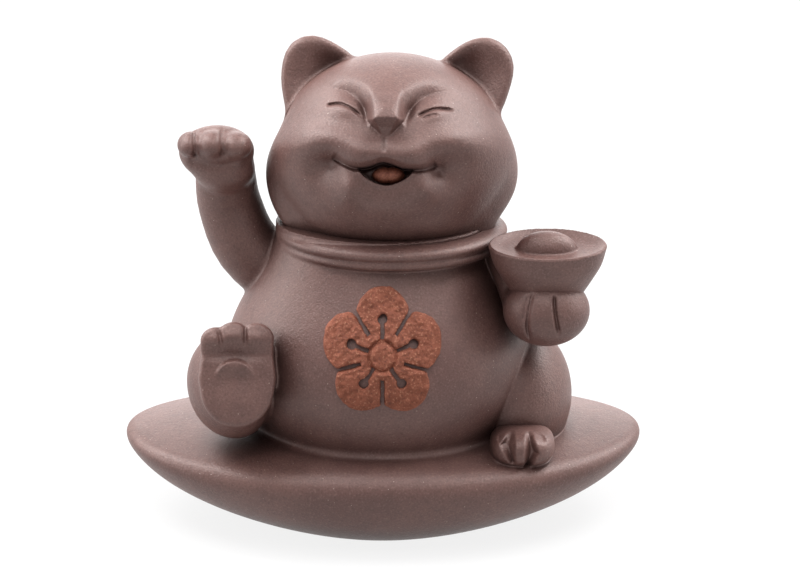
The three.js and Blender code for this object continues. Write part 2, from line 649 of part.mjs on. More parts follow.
const intoHead = headGroup.matrix.clone().invert();
const intoLeg = legGroup.matrix.clone().invert();
const seatRoom = seatForm(JOINT_GAP);
const torsoRoom = torsoForm(JOINT_GAP);
const headRoom = headForm(JOINT_GAP);
const headRoomInCat = moved(headRoom, headGroup.matrix);
const collarRoom = collarForm(JOINT_GAP);
const ingotRoom = ingotForm(JOINT_GAP);

addPiece(cat, "ingot_seat", seat(), BROWN_CLAY);
addPiece(cat, "torso", torsoForm(0).subtract(seatRoom), BROWN_CLAY);
addPiece(cat, "neck_collar", cutBy(collarForm(0), [headRoomInCat, torsoRoom]), BROWN_CLAY);
addPiece(headGroup, "head", head([moved(torsoRoom, intoHead)]), BROWN_CLAY);
addPiece(headGroup, "right_ear", ear(-1, [headRoom]), BROWN_CLAY);
addPiece(headGroup, "left_ear", ear(1, [headRoom]), BROWN_CLAY);
addPiece(headGroup, "tongue", tongue(), TONGUE_CLAY);
addPiece(cat, "raised_arm", raisedArm([torsoRoom, collarRoom, headRoomInCat]), BROWN_CLAY);
addPiece(cat, "hand_ingot", cutBy(ingotForm(0), [torsoRoom, collarRoom, headRoomInCat]), BROWN_CLAY);
addPiece(cat, "holding_arm", holdingArm([ingotRoom, torsoRoom, collarRoom]), BROWN_CLAY);
addPiece(legGroup, "right_leg", rightLeg([moved(torsoRoom, intoLeg), moved(seatRoom, intoLeg)]), BROWN_CLAY);
addPiece(cat, "left_thigh", cutBy(thighForm(0), [torsoRoom, seatRoom]), BROWN_CLAY);
addPiece(cat, "left_foot", leftFoot([thighForm(JOINT_GAP), torsoRoom, seatRoom]), BROWN_CLAY);
addPiece(cat, "tail", tail([torsoRoom, seatRoom]), BROWN_CLAY);
addPiece(cat, "belly_blossom", blossom(), RED_CLAY);

export default cat;
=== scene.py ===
import math

import bpy
import numpy as np
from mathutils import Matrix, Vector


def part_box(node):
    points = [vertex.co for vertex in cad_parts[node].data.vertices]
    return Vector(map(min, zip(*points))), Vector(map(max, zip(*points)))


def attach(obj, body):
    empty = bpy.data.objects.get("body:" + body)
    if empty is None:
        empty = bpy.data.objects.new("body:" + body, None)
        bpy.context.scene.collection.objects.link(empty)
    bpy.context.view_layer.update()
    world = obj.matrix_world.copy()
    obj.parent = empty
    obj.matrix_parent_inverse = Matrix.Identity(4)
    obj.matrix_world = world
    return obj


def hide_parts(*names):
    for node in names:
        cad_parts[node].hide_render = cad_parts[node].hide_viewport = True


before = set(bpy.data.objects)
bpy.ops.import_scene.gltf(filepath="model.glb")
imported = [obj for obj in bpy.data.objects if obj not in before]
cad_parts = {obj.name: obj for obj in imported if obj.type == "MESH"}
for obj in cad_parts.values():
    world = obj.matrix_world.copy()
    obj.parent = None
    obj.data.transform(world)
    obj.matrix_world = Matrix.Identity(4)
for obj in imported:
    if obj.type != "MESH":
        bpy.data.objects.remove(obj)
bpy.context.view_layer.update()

import openvdb
from mathutils import Vector

# A laughing lucky cat in fired brown clay, seated on a boat-shaped ingot.
# The clay is worked in millimetres and set down in the frame's metres. The cat faces -Y.
MM = 0.001


def node_box(node):
    low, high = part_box(node)
    return np.array(low) / MM, np.array(high) / MM


SEAT_LOW, SEAT_HIGH = node_box("ingot_seat")
TORSO_LOW, TORSO_HIGH = node_box("torso")
COLLAR_LOW, COLLAR_HIGH = node_box("neck_collar")
INGOT_LOW, INGOT_HIGH = node_box("hand_ingot")

# Fineness of the worked clay, from the broad seat to the small pieces.
BROAD_GRAIN = 0.36
BODY_GRAIN = 0.34
FACE_GRAIN = 0.26
SMALL_GRAIN = 0.2
FINE_GRAIN = 0.14
# How far a piece beds into the clay that carries it.
BED = 0.4
# The thin end of a fillet dives under the skin of the clay by this much.
DIVE = 0.03
# Room around a node's box in which its piece is worked, and more of it for a piece with a long fillet.
ROOM = 1.6
WIDE_ROOM = 4

# Seat: a boat-shaped ingot on a foot ring, with a crowned top.
SEAT_HALF_LENGTH = (SEAT_HIGH[0] - SEAT_LOW[0]) / 2
SEAT_HALF_DEPTH = (SEAT_HIGH[1] - SEAT_LOW[1]) / 2
RIM_HEIGHT = 12.4
CROWN_HEIGHT = 16.7
FOOT_HALF_LENGTH = 12.5
FOOT_HALF_DEPTH = 14.5
FOOT_RING = 3.5
FOOT_RECESS = 0.9
VENT_RADIUS = 2.5
VENT_DEPTH = 9
UNDERSIDE_ROUND = 0.3
# The torso stands in a shallow socket, whose floor lies this far above the rim.
SOCKET_FLOOR = 1.5
HULL_END_FULLNESS = 1.66
HULL_SIDE_FULLNESS = 2
# The top rises to its crown with this power, and runs straight from this share of its reach.
CROWN_POWER = 0.75
CROWN_BEND = 0.9
CROWN_END_POWER = 0.74
# Heights above the sloping top count for a little less, which keeps them close to distances.
CROWN_EASE = 0.95
# Rounding of the edge between hull and top, and what the rim gives away to it.
CHINE_ROUND = 3.4
CHINE_END_ROUND = 2.2
CHINE_SPARE = 0.2
# How far the two ends of the boat turn up. The rise stops growing a little past the tips.
SHEER = 0.9
SHEER_LIMIT = 1.1

# Torso: a round belly that narrows to the neck. Each triple is half width, front and back reach.
BELLY = np.array([TORSO_HIGH[0], -TORSO_LOW[1], TORSO_HIGH[1]])
TORSO_FOOT = np.array([19, 18, 15.5])
NECK = np.array([16.6, 13.8, 12.4])
BELLY_HEIGHT = RIM_HEIGHT + 13.1
NECK_HEIGHT = RIM_HEIGHT + 32.6
NECK_TOP = NECK_HEIGHT + 2
SHOULDER_POWER = 1.5
TORSO_FILLET = 1.6

# Head: an egg turned up to the viewer. Reaches are across, front or back, and down or up.
HEAD_MIDDLE = np.array([1.4, 0, NECK_HEIGHT + 9.5])
HEAD_TILT = math.radians(17)
HEAD_LOW_REACH = np.array([19.45, 17.6, 15.8])
HEAD_HIGH_REACH = np.array([19.45, 16.4, 18.4])
HEAD_HOLLOWS = ((0.9, (-18.5, 7.5)), (0.45, (18.5, 8.0)), (0.7, (17.5, -7.5)))
HEAD_HOLLOW_SPREAD = (4.5, 4.2)


# Forms are signed distances over rows of points, negative inside the clay.
# Sizes and slopes are kept off nought by these, so that nothing is divided by it.
TINY = 1e-6
TINY_SLOPE = 1e-9
# A drawn line is felt this many widths away.
SCRATCH_REACH = 3
# Numbers that stir a place into an even random draw.
GRIT_STIR = np.array([127.1, 311.7, 74.7])
GRIT_SPREAD = 43758.5453


def length(rows):
    return np.sqrt(np.einsum("ij,ij->i", rows, rows))


def egg(p, middle, low, high=None):
    """A rounded lump that may reach further to one side of its middle than to the other."""
    off = p - np.asarray(middle, float)
    reach = np.where(off < 0, low, low if high is None else high)
    near = np.maximum(length(off / reach), TINY)
    return near * (near - 1) / np.maximum(length(off / reach ** 2), TINY_SLOPE)


def bend(points, steps):
    """A smooth path through a few points."""
    points = np.asarray(points, float)
    ends = np.vstack([2 * points[0] - points[1], points, 2 * points[-1] - points[-2]])
    path = []
    for a, b, c, d in zip(ends[:-3], ends[1:-2], ends[2:-1], ends[3:]):
        for t in np.arange(steps) / steps:
            turn = 2 * a - 5 * b + 4 * c - d + t * (3 * b - a - 3 * c + d)
            path.append(b + 0.5 * t * (c - a + t * turn))
    return np.vstack([path, points[-1]])


def roll(p, path, start, end):
    """A roll of clay along a path, with its radius going from one end to the other."""
    radii = np.linspace(start, end, len(path))
    best = np.full(len(p), np.inf)
    for a, b, ra, rb in zip(path[:-1], path[1:], radii[:-1], radii[1:]):
        along = b - a
        share = np.clip((p - a) @ along / (along @ along), 0, 1)
        best = np.minimum(best, length(p - a - share[:, None] * along) - ra - share * (rb - ra))
    return best


def line_gap(flat, path):
    """Distance of flat points from a line, and the share of the line at which the nearest place is."""
    best = np.full(len(flat), np.inf)
    where = np.zeros(len(flat))
    for step, (a, b) in enumerate(zip(path[:-1], path[1:])):
        along = b - a
        share = np.clip((flat - a) @ along / (along @ along), 0, 1)
        gap = length(flat - a - share[:, None] * along)
        nearer = gap < best
        best[nearer] = gap[nearer]
        where[nearer] = (step + share[nearer]) / (len(path) - 1)
    return best, where


def outline(flat, corners):
    """Signed distance of flat points from a closed outline."""
    best = np.full(len(flat), np.inf)
    inside = np.zeros(len(flat), bool)
    for a, b in zip(corners, np.roll(corners, -1, axis=0)):
        along = b - a
        share = np.clip((flat - a) @ along / (along @ along), 0, 1)
        best = np.minimum(best, length(flat - a - share[:, None] * along))
        spans = (a[1] > flat[:, 1]) != (b[1] > flat[:, 1])
        rise = np.where(spans, b[1] - a[1], 1)
        inside ^= spans & (flat[:, 0] < a[0] + along[0] * (flat[:, 1] - a[1]) / rise)
    return np.where(inside, -best, best)


def soft_join(a, b, blend):
    share = np.clip(0.5 + 0.5 * (b - a) / blend, 0, 1)
    return b + (a - b) * share - blend * share * (1 - share)


def soft_overlap(a, b, blend):
    return -soft_join(-a, -b, blend)


def soft_cut(a, tool, blend):
    return -soft_join(-a, tool, blend)


def ease(low, high, value):
    share = np.clip((value - low) / (high - low), 0, 1)
    return share * share * (3 - 2 * share)


def puff(flat, middle, spread):
    """A soft mound of height one."""
    off = (flat - np.asarray(middle, float)) / spread
    return np.exp(-np.einsum("ij,ij->i", off, off))


def scratch(flat, path, width, fade=0.0):
    """A line of depth one drawn with a round tool, which may fade out towards its ends."""
    depth = np.zeros(len(flat))
    reach = SCRATCH_REACH * width
    near = np.all((flat > path.min(axis=0) - reach) & (flat < path.max(axis=0) + reach), axis=1)
    gap, where = line_gap(flat[near], path)
    drawn = np.exp(-(gap / width) ** 2)
    if fade:
        drawn *= ease(0, fade, where) * ease(0, fade, 1 - where)
    depth[near] = drawn
    return depth


def grit(p, size):
    """Even random bumps between -1 and 1, the same on every run."""
    place = p / size
    corner = np.floor(place)
    share = place - corner
    share = share * share * (3 - 2 * share)
    total = np.zeros(len(p))
    for step in np.ndindex(2, 2, 2):
        spot = np.sin((corner + step) @ GRIT_STIR) * GRIT_SPREAD
        weight = np.prod(np.where(np.array(step) == 1, share, 1 - share), axis=1)
        total += weight * (2 * (spot - np.floor(spot)) - 1)
    return total


def stacked(p, sizes):
    """Ovals stacked up: sizes gives the half width, front and back reach at each height."""
    step = 0.05
    x, y, z = p.T

    def near(height):
        half, front, back = sizes(height)
        depth = np.where(y < 0, front, back)
        return half, depth, np.sqrt((x / half) ** 2 + (y / depth) ** 2) + TINY

    half, depth, here = near(z)
    above = near(z + step)[2]
    level = ((x / half ** 2) ** 2 + (y / depth ** 2) ** 2) / here ** 2
    return (here - 1) / np.sqrt(level + ((above - here) / step) ** 2 + TINY_SLOPE)


def turned(p, middle, tilt):
    """Places in a frame that leans back about the X axis: across, back and up."""
    x, y, z = (p - middle).T
    c, s = math.cos(tilt), math.sin(tilt)
    return np.stack([x, y * c - z * s, y * s + z * c], axis=1)


# Carrying forms

def hull_sizes(z):
    low = np.clip(z / RIM_HEIGHT, 0, 1)

    def flare(foot, rim, fullness):
        return foot + (rim - foot) * (1 - (1 - low) ** fullness) ** (1 / fullness)

    half = flare(FOOT_HALF_LENGTH, SEAT_HALF_LENGTH + CHINE_SPARE, HULL_END_FULLNESS)
    depth = flare(FOOT_HALF_DEPTH, SEAT_HALF_DEPTH + CHINE_SPARE, HULL_SIDE_FULLNESS)
    return half, depth, depth


def crown_top(p):
    """Height above the crowned top of the seat, which runs on straight past its rim."""
    out = np.hypot((np.abs(p[:, 0]) / SEAT_HALF_LENGTH) ** CROWN_END_POWER, p[:, 1] / SEAT_HALF_DEPTH)
    bent = np.minimum(out, CROWN_BEND)
    top = (1 - bent ** 2) ** CROWN_POWER
    slope = -2 * CROWN_POWER * CROWN_BEND * (1 - CROWN_BEND ** 2) ** (CROWN_POWER - 1)
    rise = CROWN_HEIGHT - RIM_HEIGHT
    return (p[:, 2] - RIM_HEIGHT - rise * (top + slope * (out - bent))) * CROWN_EASE


def seat_form(p):
    ends = (p[:, 0] / SEAT_HALF_LENGTH) ** 2
    lift = SHEER * np.minimum(ends, SHEER_LIMIT) ** 2 * np.clip(p[:, 2] / RIM_HEIGHT, 0, 1)
    level = np.stack([p[:, 0], p[:, 1], p[:, 2] - lift], axis=1)
    rounding = CHINE_ROUND + (CHINE_END_ROUND - CHINE_ROUND) * np.clip(ends, 0, 1)
    return soft_overlap(stacked(level, hull_sizes), crown_top(level), rounding)


def torso_sizes(z):
    low = np.sin(np.clip((z - RIM_HEIGHT) / (BELLY_HEIGHT - RIM_HEIGHT), 0, 1) * math.pi / 2)
    climb = np.clip((z - BELLY_HEIGHT) / (NECK_HEIGHT - BELLY_HEIGHT), 0, 1)
    high = np.cos(climb * math.pi / 2) ** SHOULDER_POWER
    below = z < BELLY_HEIGHT
    return [np.where(below, foot + (belly - foot) * low, neck + (belly - neck) * high)
            for foot, belly, neck in zip(TORSO_FOOT, BELLY, NECK)]


def torso_form(p):
    return np.maximum(stacked(p, torso_sizes), p[:, 2] - NECK_TOP)


def plain_head(q):
    """The head without its face, in its own frame: an egg with a few hollows pressed into its sides."""
    form = egg(q, (0, 0, 0), HEAD_LOW_REACH, HEAD_HIGH_REACH)
    flat = q[:, [0, 2]]
    for depth, middle in HEAD_HOLLOWS:
        form += depth * puff(flat, middle, HEAD_HOLLOW_SPREAD)
    return form


def head_form(p):
    return plain_head(turned(p, HEAD_MIDDLE, HEAD_TILT))


def bedded(form, carrier, fillet):
    """A piece drawn onto the clay that carries it with a small fillet, and let into it a little."""
    skirt = np.maximum(soft_join(form, carrier, fillet) + DIVE, form - fillet)
    return np.maximum(skirt, -carrier - BED)


# Pieces

def seat(p):
    x, y, z = p.T
    form = np.maximum(seat_form(p), -z)
    reach = FOOT_HALF_LENGTH - FOOT_RING
    ring = np.sqrt((x / reach) ** 2 + (y / (FOOT_HALF_DEPTH - FOOT_RING)) ** 2)
    form = soft_cut(form, np.maximum((ring - 1) * reach, z - FOOT_RECESS), UNDERSIDE_ROUND)
    vent = np.maximum(np.hypot(x, y) - VENT_RADIUS, z - VENT_DEPTH)
    socket = np.maximum(torso_form(p), RIM_HEIGHT + SOCKET_FLOOR - z)
    return np.maximum(soft_cut(form, vent, UNDERSIDE_ROUND), -socket - BED)


def torso(p):
    return bedded(torso_form(p), seat_form(p), TORSO_FILLET)


# Collar: two rings round the neck. Places are out from its edge, and up from the neck.
UPPER_RING = (-3.2, 0.3)
UPPER_RING_REACH = np.array([3.2, 1.35])
LOWER_RING = (-3.2, -1.2)
LOWER_RING_REACH = np.array([2.95, 1.15])
RING_CREASE = 0.55
COLLAR_FILLET = 0.5


def collar(p):
    x, y, z = (p - np.array([HEAD_MIDDLE[0], 0, NECK_HEIGHT])).T
    half = (COLLAR_HIGH[0] - COLLAR_LOW[0]) / 2
    deep = (COLLAR_HIGH[1] - COLLAR_LOW[1]) / 2
    out = (np.sqrt((x / half) ** 2 + (y / deep) ** 2) - 1) * half
    across = np.stack([out, z], axis=1)
    upper = egg(across, UPPER_RING, UPPER_RING_REACH)
    lower = egg(across, LOWER_RING, LOWER_RING_REACH)
    form = soft_join(upper, lower, RING_CREASE)
    return np.maximum(bedded(form, torso_form(p), COLLAR_FILLET), -head_form(p) - 2 * BED)


# Face: places are across and up in the frame of the head, from a point this far below its middle.
FACE_DROP = 0.5
# The relief begins this far ahead of the middle of the head, and is full at the second distance.
FACE_START = 1
FACE_FULL = 6
# The lower face lies back, more and more from its top to its foot.
LOWER_FACE_RECESS = 2.0
LOWER_FACE_TOP = 4.5
LOWER_FACE_FOOT = -7.0

# Nose: a wedge that grows out of the brow to an edge, and falls back from there to its tip.
NOSE_MIDDLE = -0.9
NOSE_TOP = 12.2
NOSE_BRIDGE = 9.6
NOSE_EDGE = 7.75
NOSE_EDGE_BOW = 0.45
NOSE_TIP = 5.2
NOSE_REACH = 2.8
NOSE_TOP_HALF = 2.6
NOSE_BRIDGE_HALF = 2.75
NOSE_HALF = 2.85
NOSE_TIP_HALF = 0.5
# How steeply the flanks fall at the edge, the bridge and the top.
NOSE_FLANKS = (2.8, 2.2, 1.2)
NOSE_EDGE_ROUND = 0.25
NOSE_FLANK_ROUND = 0.9
NOSE_FOOT_ROUND = 0.4

# Brow: the forehead rolls over the eyes along two lines that run down beside the nose.
BROW_RIGHT = bend([(-9.2, 13.0), (-7.0, 12.4), (-5.3, 11.2), (-4.3, 9.8), (-3.8, 8.3), (-3.6, 6.6)], 4)
BROW_LEFT = bend([(8.6, 12.4), (6.0, 11.9), (4.1, 10.8), (2.9, 9.5), (2.3, 8.1), (2.0, 6.6)], 4)
FOREHEAD = np.vstack([BROW_RIGHT, BROW_LEFT[::-1], [(12, 19), (-14, 19)]])
BROW_MIDDLE = (NOSE_MIDDLE, 11.2)
BROW_SPREAD = (8.0, 4.6)
BROW_REACH = 1.7
BROW_ROLL = 3.0

# Eyes and mouth
EYE_RIGHT = bend([(-10.2, 10.1), (-7.9, 10.3), (-6.2, 9.6), (-4.3, 8.1)], 5)
EYE_LEFT = bend([(3.7, 8.1), (5.2, 9.0), (7.0, 9.5), (9.7, 9.3)], 5)
LID_LEFT = bend([(4.3, 7.7), (5.5, 8.35), (7.3, 8.65)], 4)
LIP = bend([(-9.0, 2.45), (-7.0, 1.25), (-5.2, 0.6), (-3.4, 0.8), (-1.2, 1.55), (1.6, 0.6), (3.4, 0.35),
            (5.2, 0.5), (6.8, 1.25)], 4)
PHILTRUM = bend([(-1.1, 5.4), (-1.15, 4.0), (-1.2, 2.6)], 3)
MOUTH_TOP = bend([(-5.2, 0.55), (-3.4, 0.75), (-1.2, 1.45), (1.6, 0.55), (3.4, 0.3)], 4)
MOUTH_BOTTOM = bend([(3.4, 0.3), (2.6, -0.7), (1.0, -1.65), (-0.9, -2.1), (-2.7, -1.6), (-4.2, -0.65),
                     (-5.2, 0.55)], 4)
MOUTH = np.vstack([MOUTH_TOP[:-1], MOUTH_BOTTOM[:-1]])
MOUTH_DEPTH = 2.6
MOUTH_ROUND = 0.25
# Places behind the face count as this far from the mouth.
BEYOND_MOUTH = 2.0

# Muzzle: two lobes that end at the lip, with little of them left below it.
MUZZLE_RIGHT = (-4.4, 2.4)
MUZZLE_LEFT = (2.5, 2.2)
MUZZLE_SPREAD = (3.4, 2.5)
MUZZLE_REACH = 1.9
MUZZLE_BELOW_LIP = 0.1
LIP_EDGE = (-0.5, 0.2)

# Mounds: how far each stands out, its spread and its places. A hollow stands out by less than nothing.
CHEEKS = (2.0, (6.4, 2.9), [(-10.8, 4.8), (9.4, 4.6)])
LIDS = (0.8, (3.2, 1.7), [(-7.2, 9.4), (6.4, 8.9)])
CHEEK_HOLLOWS = (-1.2, (2.4, 2.6), [(-10.4, 0.6), (8.3, 0.4)])
DIMPLES = (-1.2, (1.2, 1.2), [(-9.0, 1.5), (6.9, 0.4)])
CHIN = (1.3, (6.2, 2.7), [(-0.9, -5.0)])
JOWLS = (1.6, (2.1, 2.5), [(-6.2, -2.4), (4.6, -2.6)])
FACE_MOUNDS = (CHEEKS, LIDS, CHEEK_HOLLOWS, DIMPLES, CHIN, JOWLS)

# Lines: how far each stands out, its width, the share of it that fades at each end, and its paths.
EYE_LINES = (-0.65, 0.24, 0.18, [EYE_RIGHT, EYE_LEFT])
BROW_FOLDS = (-0.5, 1.1, 0.4, [BROW_RIGHT, BROW_LEFT])
BROW_CREASES = (-0.55, 0.6, 0.45, [path[len(path) // 3:] for path in (BROW_RIGHT, BROW_LEFT)])
LID_LINE = (-0.3, 0.24, 0.3, [LID_LEFT])
LIP_LINE = (-1.2, 0.44, 0.03, [LIP])
LOWER_LIP = (0.4, 0.5, 0.1, [MOUTH_BOTTOM])
PHILTRUM_LINE = (-0.35, 0.32, 0.3, [PHILTRUM])
FACE_LINES = (EYE_LINES, BROW_FOLDS, BROW_CREASES, LID_LINE, LIP_LINE, LOWER_LIP, PHILTRUM_LINE)


def brow_relief(flat):
    """The forehead and the bridge of the nose, which roll over the eyes."""
    within = np.clip(-outline(flat, FOREHEAD) / BROW_ROLL, 0, 1)
    return BROW_REACH * within * (2 - within) * puff(flat, BROW_MIDDLE, BROW_SPREAD)


def nose_relief(flat):
    across = np.abs(flat[:, 0] - NOSE_MIDDLE)
    up = flat[:, 1]
    edge = NOSE_EDGE + NOSE_EDGE_BOW * (1 - (across / NOSE_HALF) ** 2)
    bridge = NOSE_REACH * (NOSE_TOP - up) / (NOSE_TOP - NOSE_EDGE)
    under = NOSE_REACH * (up - NOSE_TIP) / (edge - NOSE_TIP)
    half = np.interp(up, [NOSE_TIP, NOSE_EDGE, NOSE_BRIDGE, NOSE_TOP],
                     [NOSE_TIP_HALF, NOSE_HALF, NOSE_BRIDGE_HALF, NOSE_TOP_HALF])
    flank = (half - across) * np.interp(up, [NOSE_EDGE, NOSE_BRIDGE, NOSE_TOP], NOSE_FLANKS)
    height = soft_overlap(soft_overlap(-bridge, -under, NOSE_EDGE_ROUND), -flank, NOSE_FLANK_ROUND)
    return soft_overlap(-height, np.zeros(len(up)), NOSE_FOOT_ROUND)


def muzzle_relief(flat):
    lip_height = np.interp(flat[:, 0], LIP[:, 0], LIP[:, 1])
    above_lip = ease(*LIP_EDGE, flat[:, 1] - lip_height)
    lobes = puff(flat, MUZZLE_RIGHT, MUZZLE_SPREAD) + puff(flat, MUZZLE_LEFT, MUZZLE_SPREAD)
    return MUZZLE_REACH * lobes * (MUZZLE_BELOW_LIP + (1 - MUZZLE_BELOW_LIP) * above_lip)


def face_relief(flat):
    """How far the face stands out from the plain egg of the head."""
    relief = nose_relief(flat) + brow_relief(flat)
    relief -= LOWER_FACE_RECESS * ease(LOWER_FACE_TOP, LOWER_FACE_FOOT, flat[:, 1])
    relief += muzzle_relief(flat)
    for reach, spread, middles in FACE_MOUNDS:
        for middle in middles:
            relief += reach * puff(flat, middle, spread)
    for reach, width, fade, paths in FACE_LINES:
        for path in paths:
            relief += reach * scratch(flat, path, width, fade)
    return relief


def faced_head(q):
    """The head with its face, in its own frame."""
    form = plain_head(q)
    front = q[:, 1] < -FACE_START
    flat = q[front][:, [0, 2]] + (0, FACE_DROP)
    form[front] -= face_relief(flat) * ease(FACE_START, FACE_FULL, -q[front, 1])
    lips = np.full(len(q), BEYOND_MOUTH)
    lips[front] = outline(flat, MOUTH)
    return soft_cut(form, np.maximum(lips, -form - MOUTH_DEPTH), MOUTH_ROUND)


def head(p):
    form = faced_head(turned(p, HEAD_MIDDLE, HEAD_TILT))
    return np.maximum(form, -torso_form(p) - BED)


# Tongue: a small lump with a shallow groove, which runs a little way under the lips.
TONGUE_MIDDLE = (-0.5, -14.6, -0.5)
TONGUE_REACH = np.array([2.5, 2.4, 1.3])
TONGUE_GROOVE = bend([(-0.5, 1.2), (-0.5, -1.4)], 2)
TONGUE_GROOVE_DEPTH = 0.2
TONGUE_GROOVE_WIDTH = 0.35
TONGUE_UNDER_LIPS = 0.2


def tongue(p):
    q = turned(p, HEAD_MIDDLE, HEAD_TILT) + (0, 0, FACE_DROP)
    flat = q[:, [0, 2]]
    form = egg(q, TONGUE_MIDDLE, TONGUE_REACH)
    form = form + TONGUE_GROOVE_DEPTH * scratch(flat, TONGUE_GROOVE, TONGUE_GROOVE_WIDTH)
    return np.maximum(form, outline(flat, MOUTH) - TONGUE_UNDER_LIPS)


# Ears: leaves with a hollow front, drawn as an inner outline that a rim of clay goes round.
RIGHT_EAR = bend([(-12.9, 4.5), (-13.4, 9.5), (-14.1, 14.4), (-13.3, 17.7), (-10.8, 17.5), (-6.9, 14.3),
                  (-7.3, 9.5), (-7.6, 4.5)], 4)
LEFT_EAR = bend([(9.0, 4.5), (8.9, 9.5), (9.0, 13.9), (11.9, 16.8), (14.5, 17.7), (15.8, 16.0),
                 (14.9, 12.3), (13.6, 9.0), (12.9, 4.5)], 4)
EAR_ROUND = 3.0
EAR_RIM = 1.0
EAR_FOOT = 8
EAR_TIP = 20.6
EAR_FOOT_HALF = 3.2
EAR_TIP_HALF = 1.9
EAR_EDGE_ROUND = 1.6
EAR_FILLET = 0.8
# The floor of the hollow is furthest back at one height. It rises to its foot, tip and outer side.
EAR_FLOOR = 0.2
EAR_FLOOR_UP = 15
EAR_FLOOR_FOOT = 7
EAR_FOOT_RISE = 1.6
EAR_TIP_RISE = 0.6
EAR_OUTER_RISE = 1.9
EAR_OUTER_START = 0.25
EAR_HOLLOW_ROUND = 3.4
EAR_RIM_ROUND = 1.3


def ear(inner):
    sides = np.abs(inner[:, 0])

    def form(p):
        q = turned(p, HEAD_MIDDLE, HEAD_TILT)
        up = q[:, 2]
        edge = outline(q[:, [0, 2]], inner) - EAR_ROUND
        thick = np.interp(up, [EAR_FOOT, EAR_TIP], [EAR_FOOT_HALF, EAR_TIP_HALF])
        leaf = soft_overlap(edge, np.abs(q[:, 1]) - thick, EAR_EDGE_ROUND)
        outer = (np.abs(q[:, 0]) - sides.min()) / (sides.max() - sides.min())
        floor = EAR_FLOOR - EAR_FOOT_RISE * ease(EAR_FLOOR_UP, EAR_FLOOR_FOOT, up)
        floor = floor - EAR_TIP_RISE * ease(EAR_FLOOR_UP, EAR_TIP, up)
        floor = floor - EAR_OUTER_RISE * ease(EAR_OUTER_START, 1, outer)
        hollow = soft_overlap(edge + EAR_RIM, q[:, 1] - floor, EAR_HOLLOW_ROUND)
        return bedded(soft_cut(leaf, hollow, EAR_RIM_ROUND), head_form(p), EAR_FILLET)
    return form


# Both arms: grooves between the toes, and the fillet at the shoulder.
GROOVE_WIDTH = 0.3
GROOVE_FADE = 0.2
ARM_FILLET = 0.7


def grooved(form, p, front, grooves):
    """A paw with grooves drawn into its front."""
    flat = p[:, [0, 2]]
    for depth, path in grooves:
        form = form + depth * front * scratch(flat, bend(path, 3), GROOVE_WIDTH, GROOVE_FADE)
    return form


# Raised arm: it leaves the side of the torso, climbs beside the head and bends forward at the wrist.
RAISED_PATH = bend([(-14.0, 2.5, 35.4), (-20.9, 2.5, 41.7), (-23.7, 2.4, 48.4), (-24.3, 0.8, 53.6),
                    (-24.4, -0.2, 56.6)], 4)
RAISED_RADII = (5.5, 4.4)
RAISED_PAW = np.array([-25.3, -2.4, 58.5])
RAISED_PAW_LOW = np.array([6.0, 4.6, 4.7])
RAISED_PAW_HIGH = np.array([5.6, 4.6, 3.9])
RAISED_HEEL = (1.0, 0.9, -3.4)
RAISED_HEEL_REACH = np.array([4.6, 4.8, 3.3])
RAISED_HEEL_BLEND = 1.2
RAISED_TOES = (((-3.9, -2.1, 1.5), (2.2, 3.0, 2.0)), ((-0.6, -2.9, 1.8), (2.4, 3.0, 2.1)),
               ((3.0, -2.6, 1.5), (2.4, 3.0, 2.1)))
RAISED_TOE_BLEND = 0.5
RAISED_WRIST_BLEND = 0.7
RAISED_FRONT = (-0.5, 2)
RAISED_GROOVES = ((0.5, [(-28.9, 62.4), (-28.7, 60.2), (-28.6, 58.2)]),
                  (0.28, [(-24.6, 62.8), (-24.5, 60.6), (-24.4, 58.4)]))
RAISED_FOLD = bend([(-30.0, 57.9), (-28.0, 57.5), (-24.5, 57.2), (-21.4, 57.7)], 3)
RAISED_FOLD_DEPTH = 0.5
RAISED_FOLD_WIDTH = 0.8
RAISED_FOLD_FADE = 0.25


def raised_arm(p):
    form = roll(p, RAISED_PATH, *RAISED_RADII)
    paw = egg(p, RAISED_PAW, RAISED_PAW_LOW, RAISED_PAW_HIGH)
    paw = soft_join(paw, egg(p, RAISED_PAW + RAISED_HEEL, RAISED_HEEL_REACH), RAISED_HEEL_BLEND)
    for toe, reach in RAISED_TOES:
        paw = soft_join(paw, egg(p, RAISED_PAW + toe, np.array(reach)), RAISED_TOE_BLEND)
    form = soft_join(form, paw, RAISED_WRIST_BLEND)
    front = ease(*RAISED_FRONT, RAISED_PAW[1] - p[:, 1])
    form = grooved(form, p, front, RAISED_GROOVES)
    fold = scratch(p[:, [0, 2]], RAISED_FOLD, RAISED_FOLD_WIDTH, RAISED_FOLD_FADE)
    form = form + RAISED_FOLD_DEPTH * front * fold
    form = bedded(form, torso_form(p), ARM_FILLET)
    return np.maximum(form, -head_form(p) - BED)


# Small ingot: an oval cup with a lip, a dished top and a dome. Its profile is out and up from its lip.
INGOT_MIDDLE = np.array([(INGOT_LOW[0] + INGOT_HIGH[0]) / 2, (INGOT_LOW[1] + INGOT_HIGH[1]) / 2, 46.4])
INGOT_HALF = (INGOT_HIGH[0] - INGOT_LOW[0]) / 2
INGOT_HALF_DEPTH = (INGOT_HIGH[1] - INGOT_LOW[1]) / 2
INGOT_SIDE = bend([(5.7, -7.1), (6.9, -5.2), (8.2, -2.9), (8.95, -0.3)], 5)
INGOT_DISH = bend([(8.75, -0.05), (7.0, -0.75), (4.9, -1.15)], 3)
INGOT_PROFILE = np.vstack([[(-2, -7.2), (5.3, -7.2)], INGOT_SIDE, INGOT_DISH, [(-2, -1.15)]])
INGOT_ROUND = 0.08
INGOT_LEAN = 0.07
INGOT_DOME = (-0.1, 0.9, -1.6)
INGOT_DOME_REACH = np.array([4.8, 3.0, 3.3])
INGOT_DOME_BLEND = 0.35


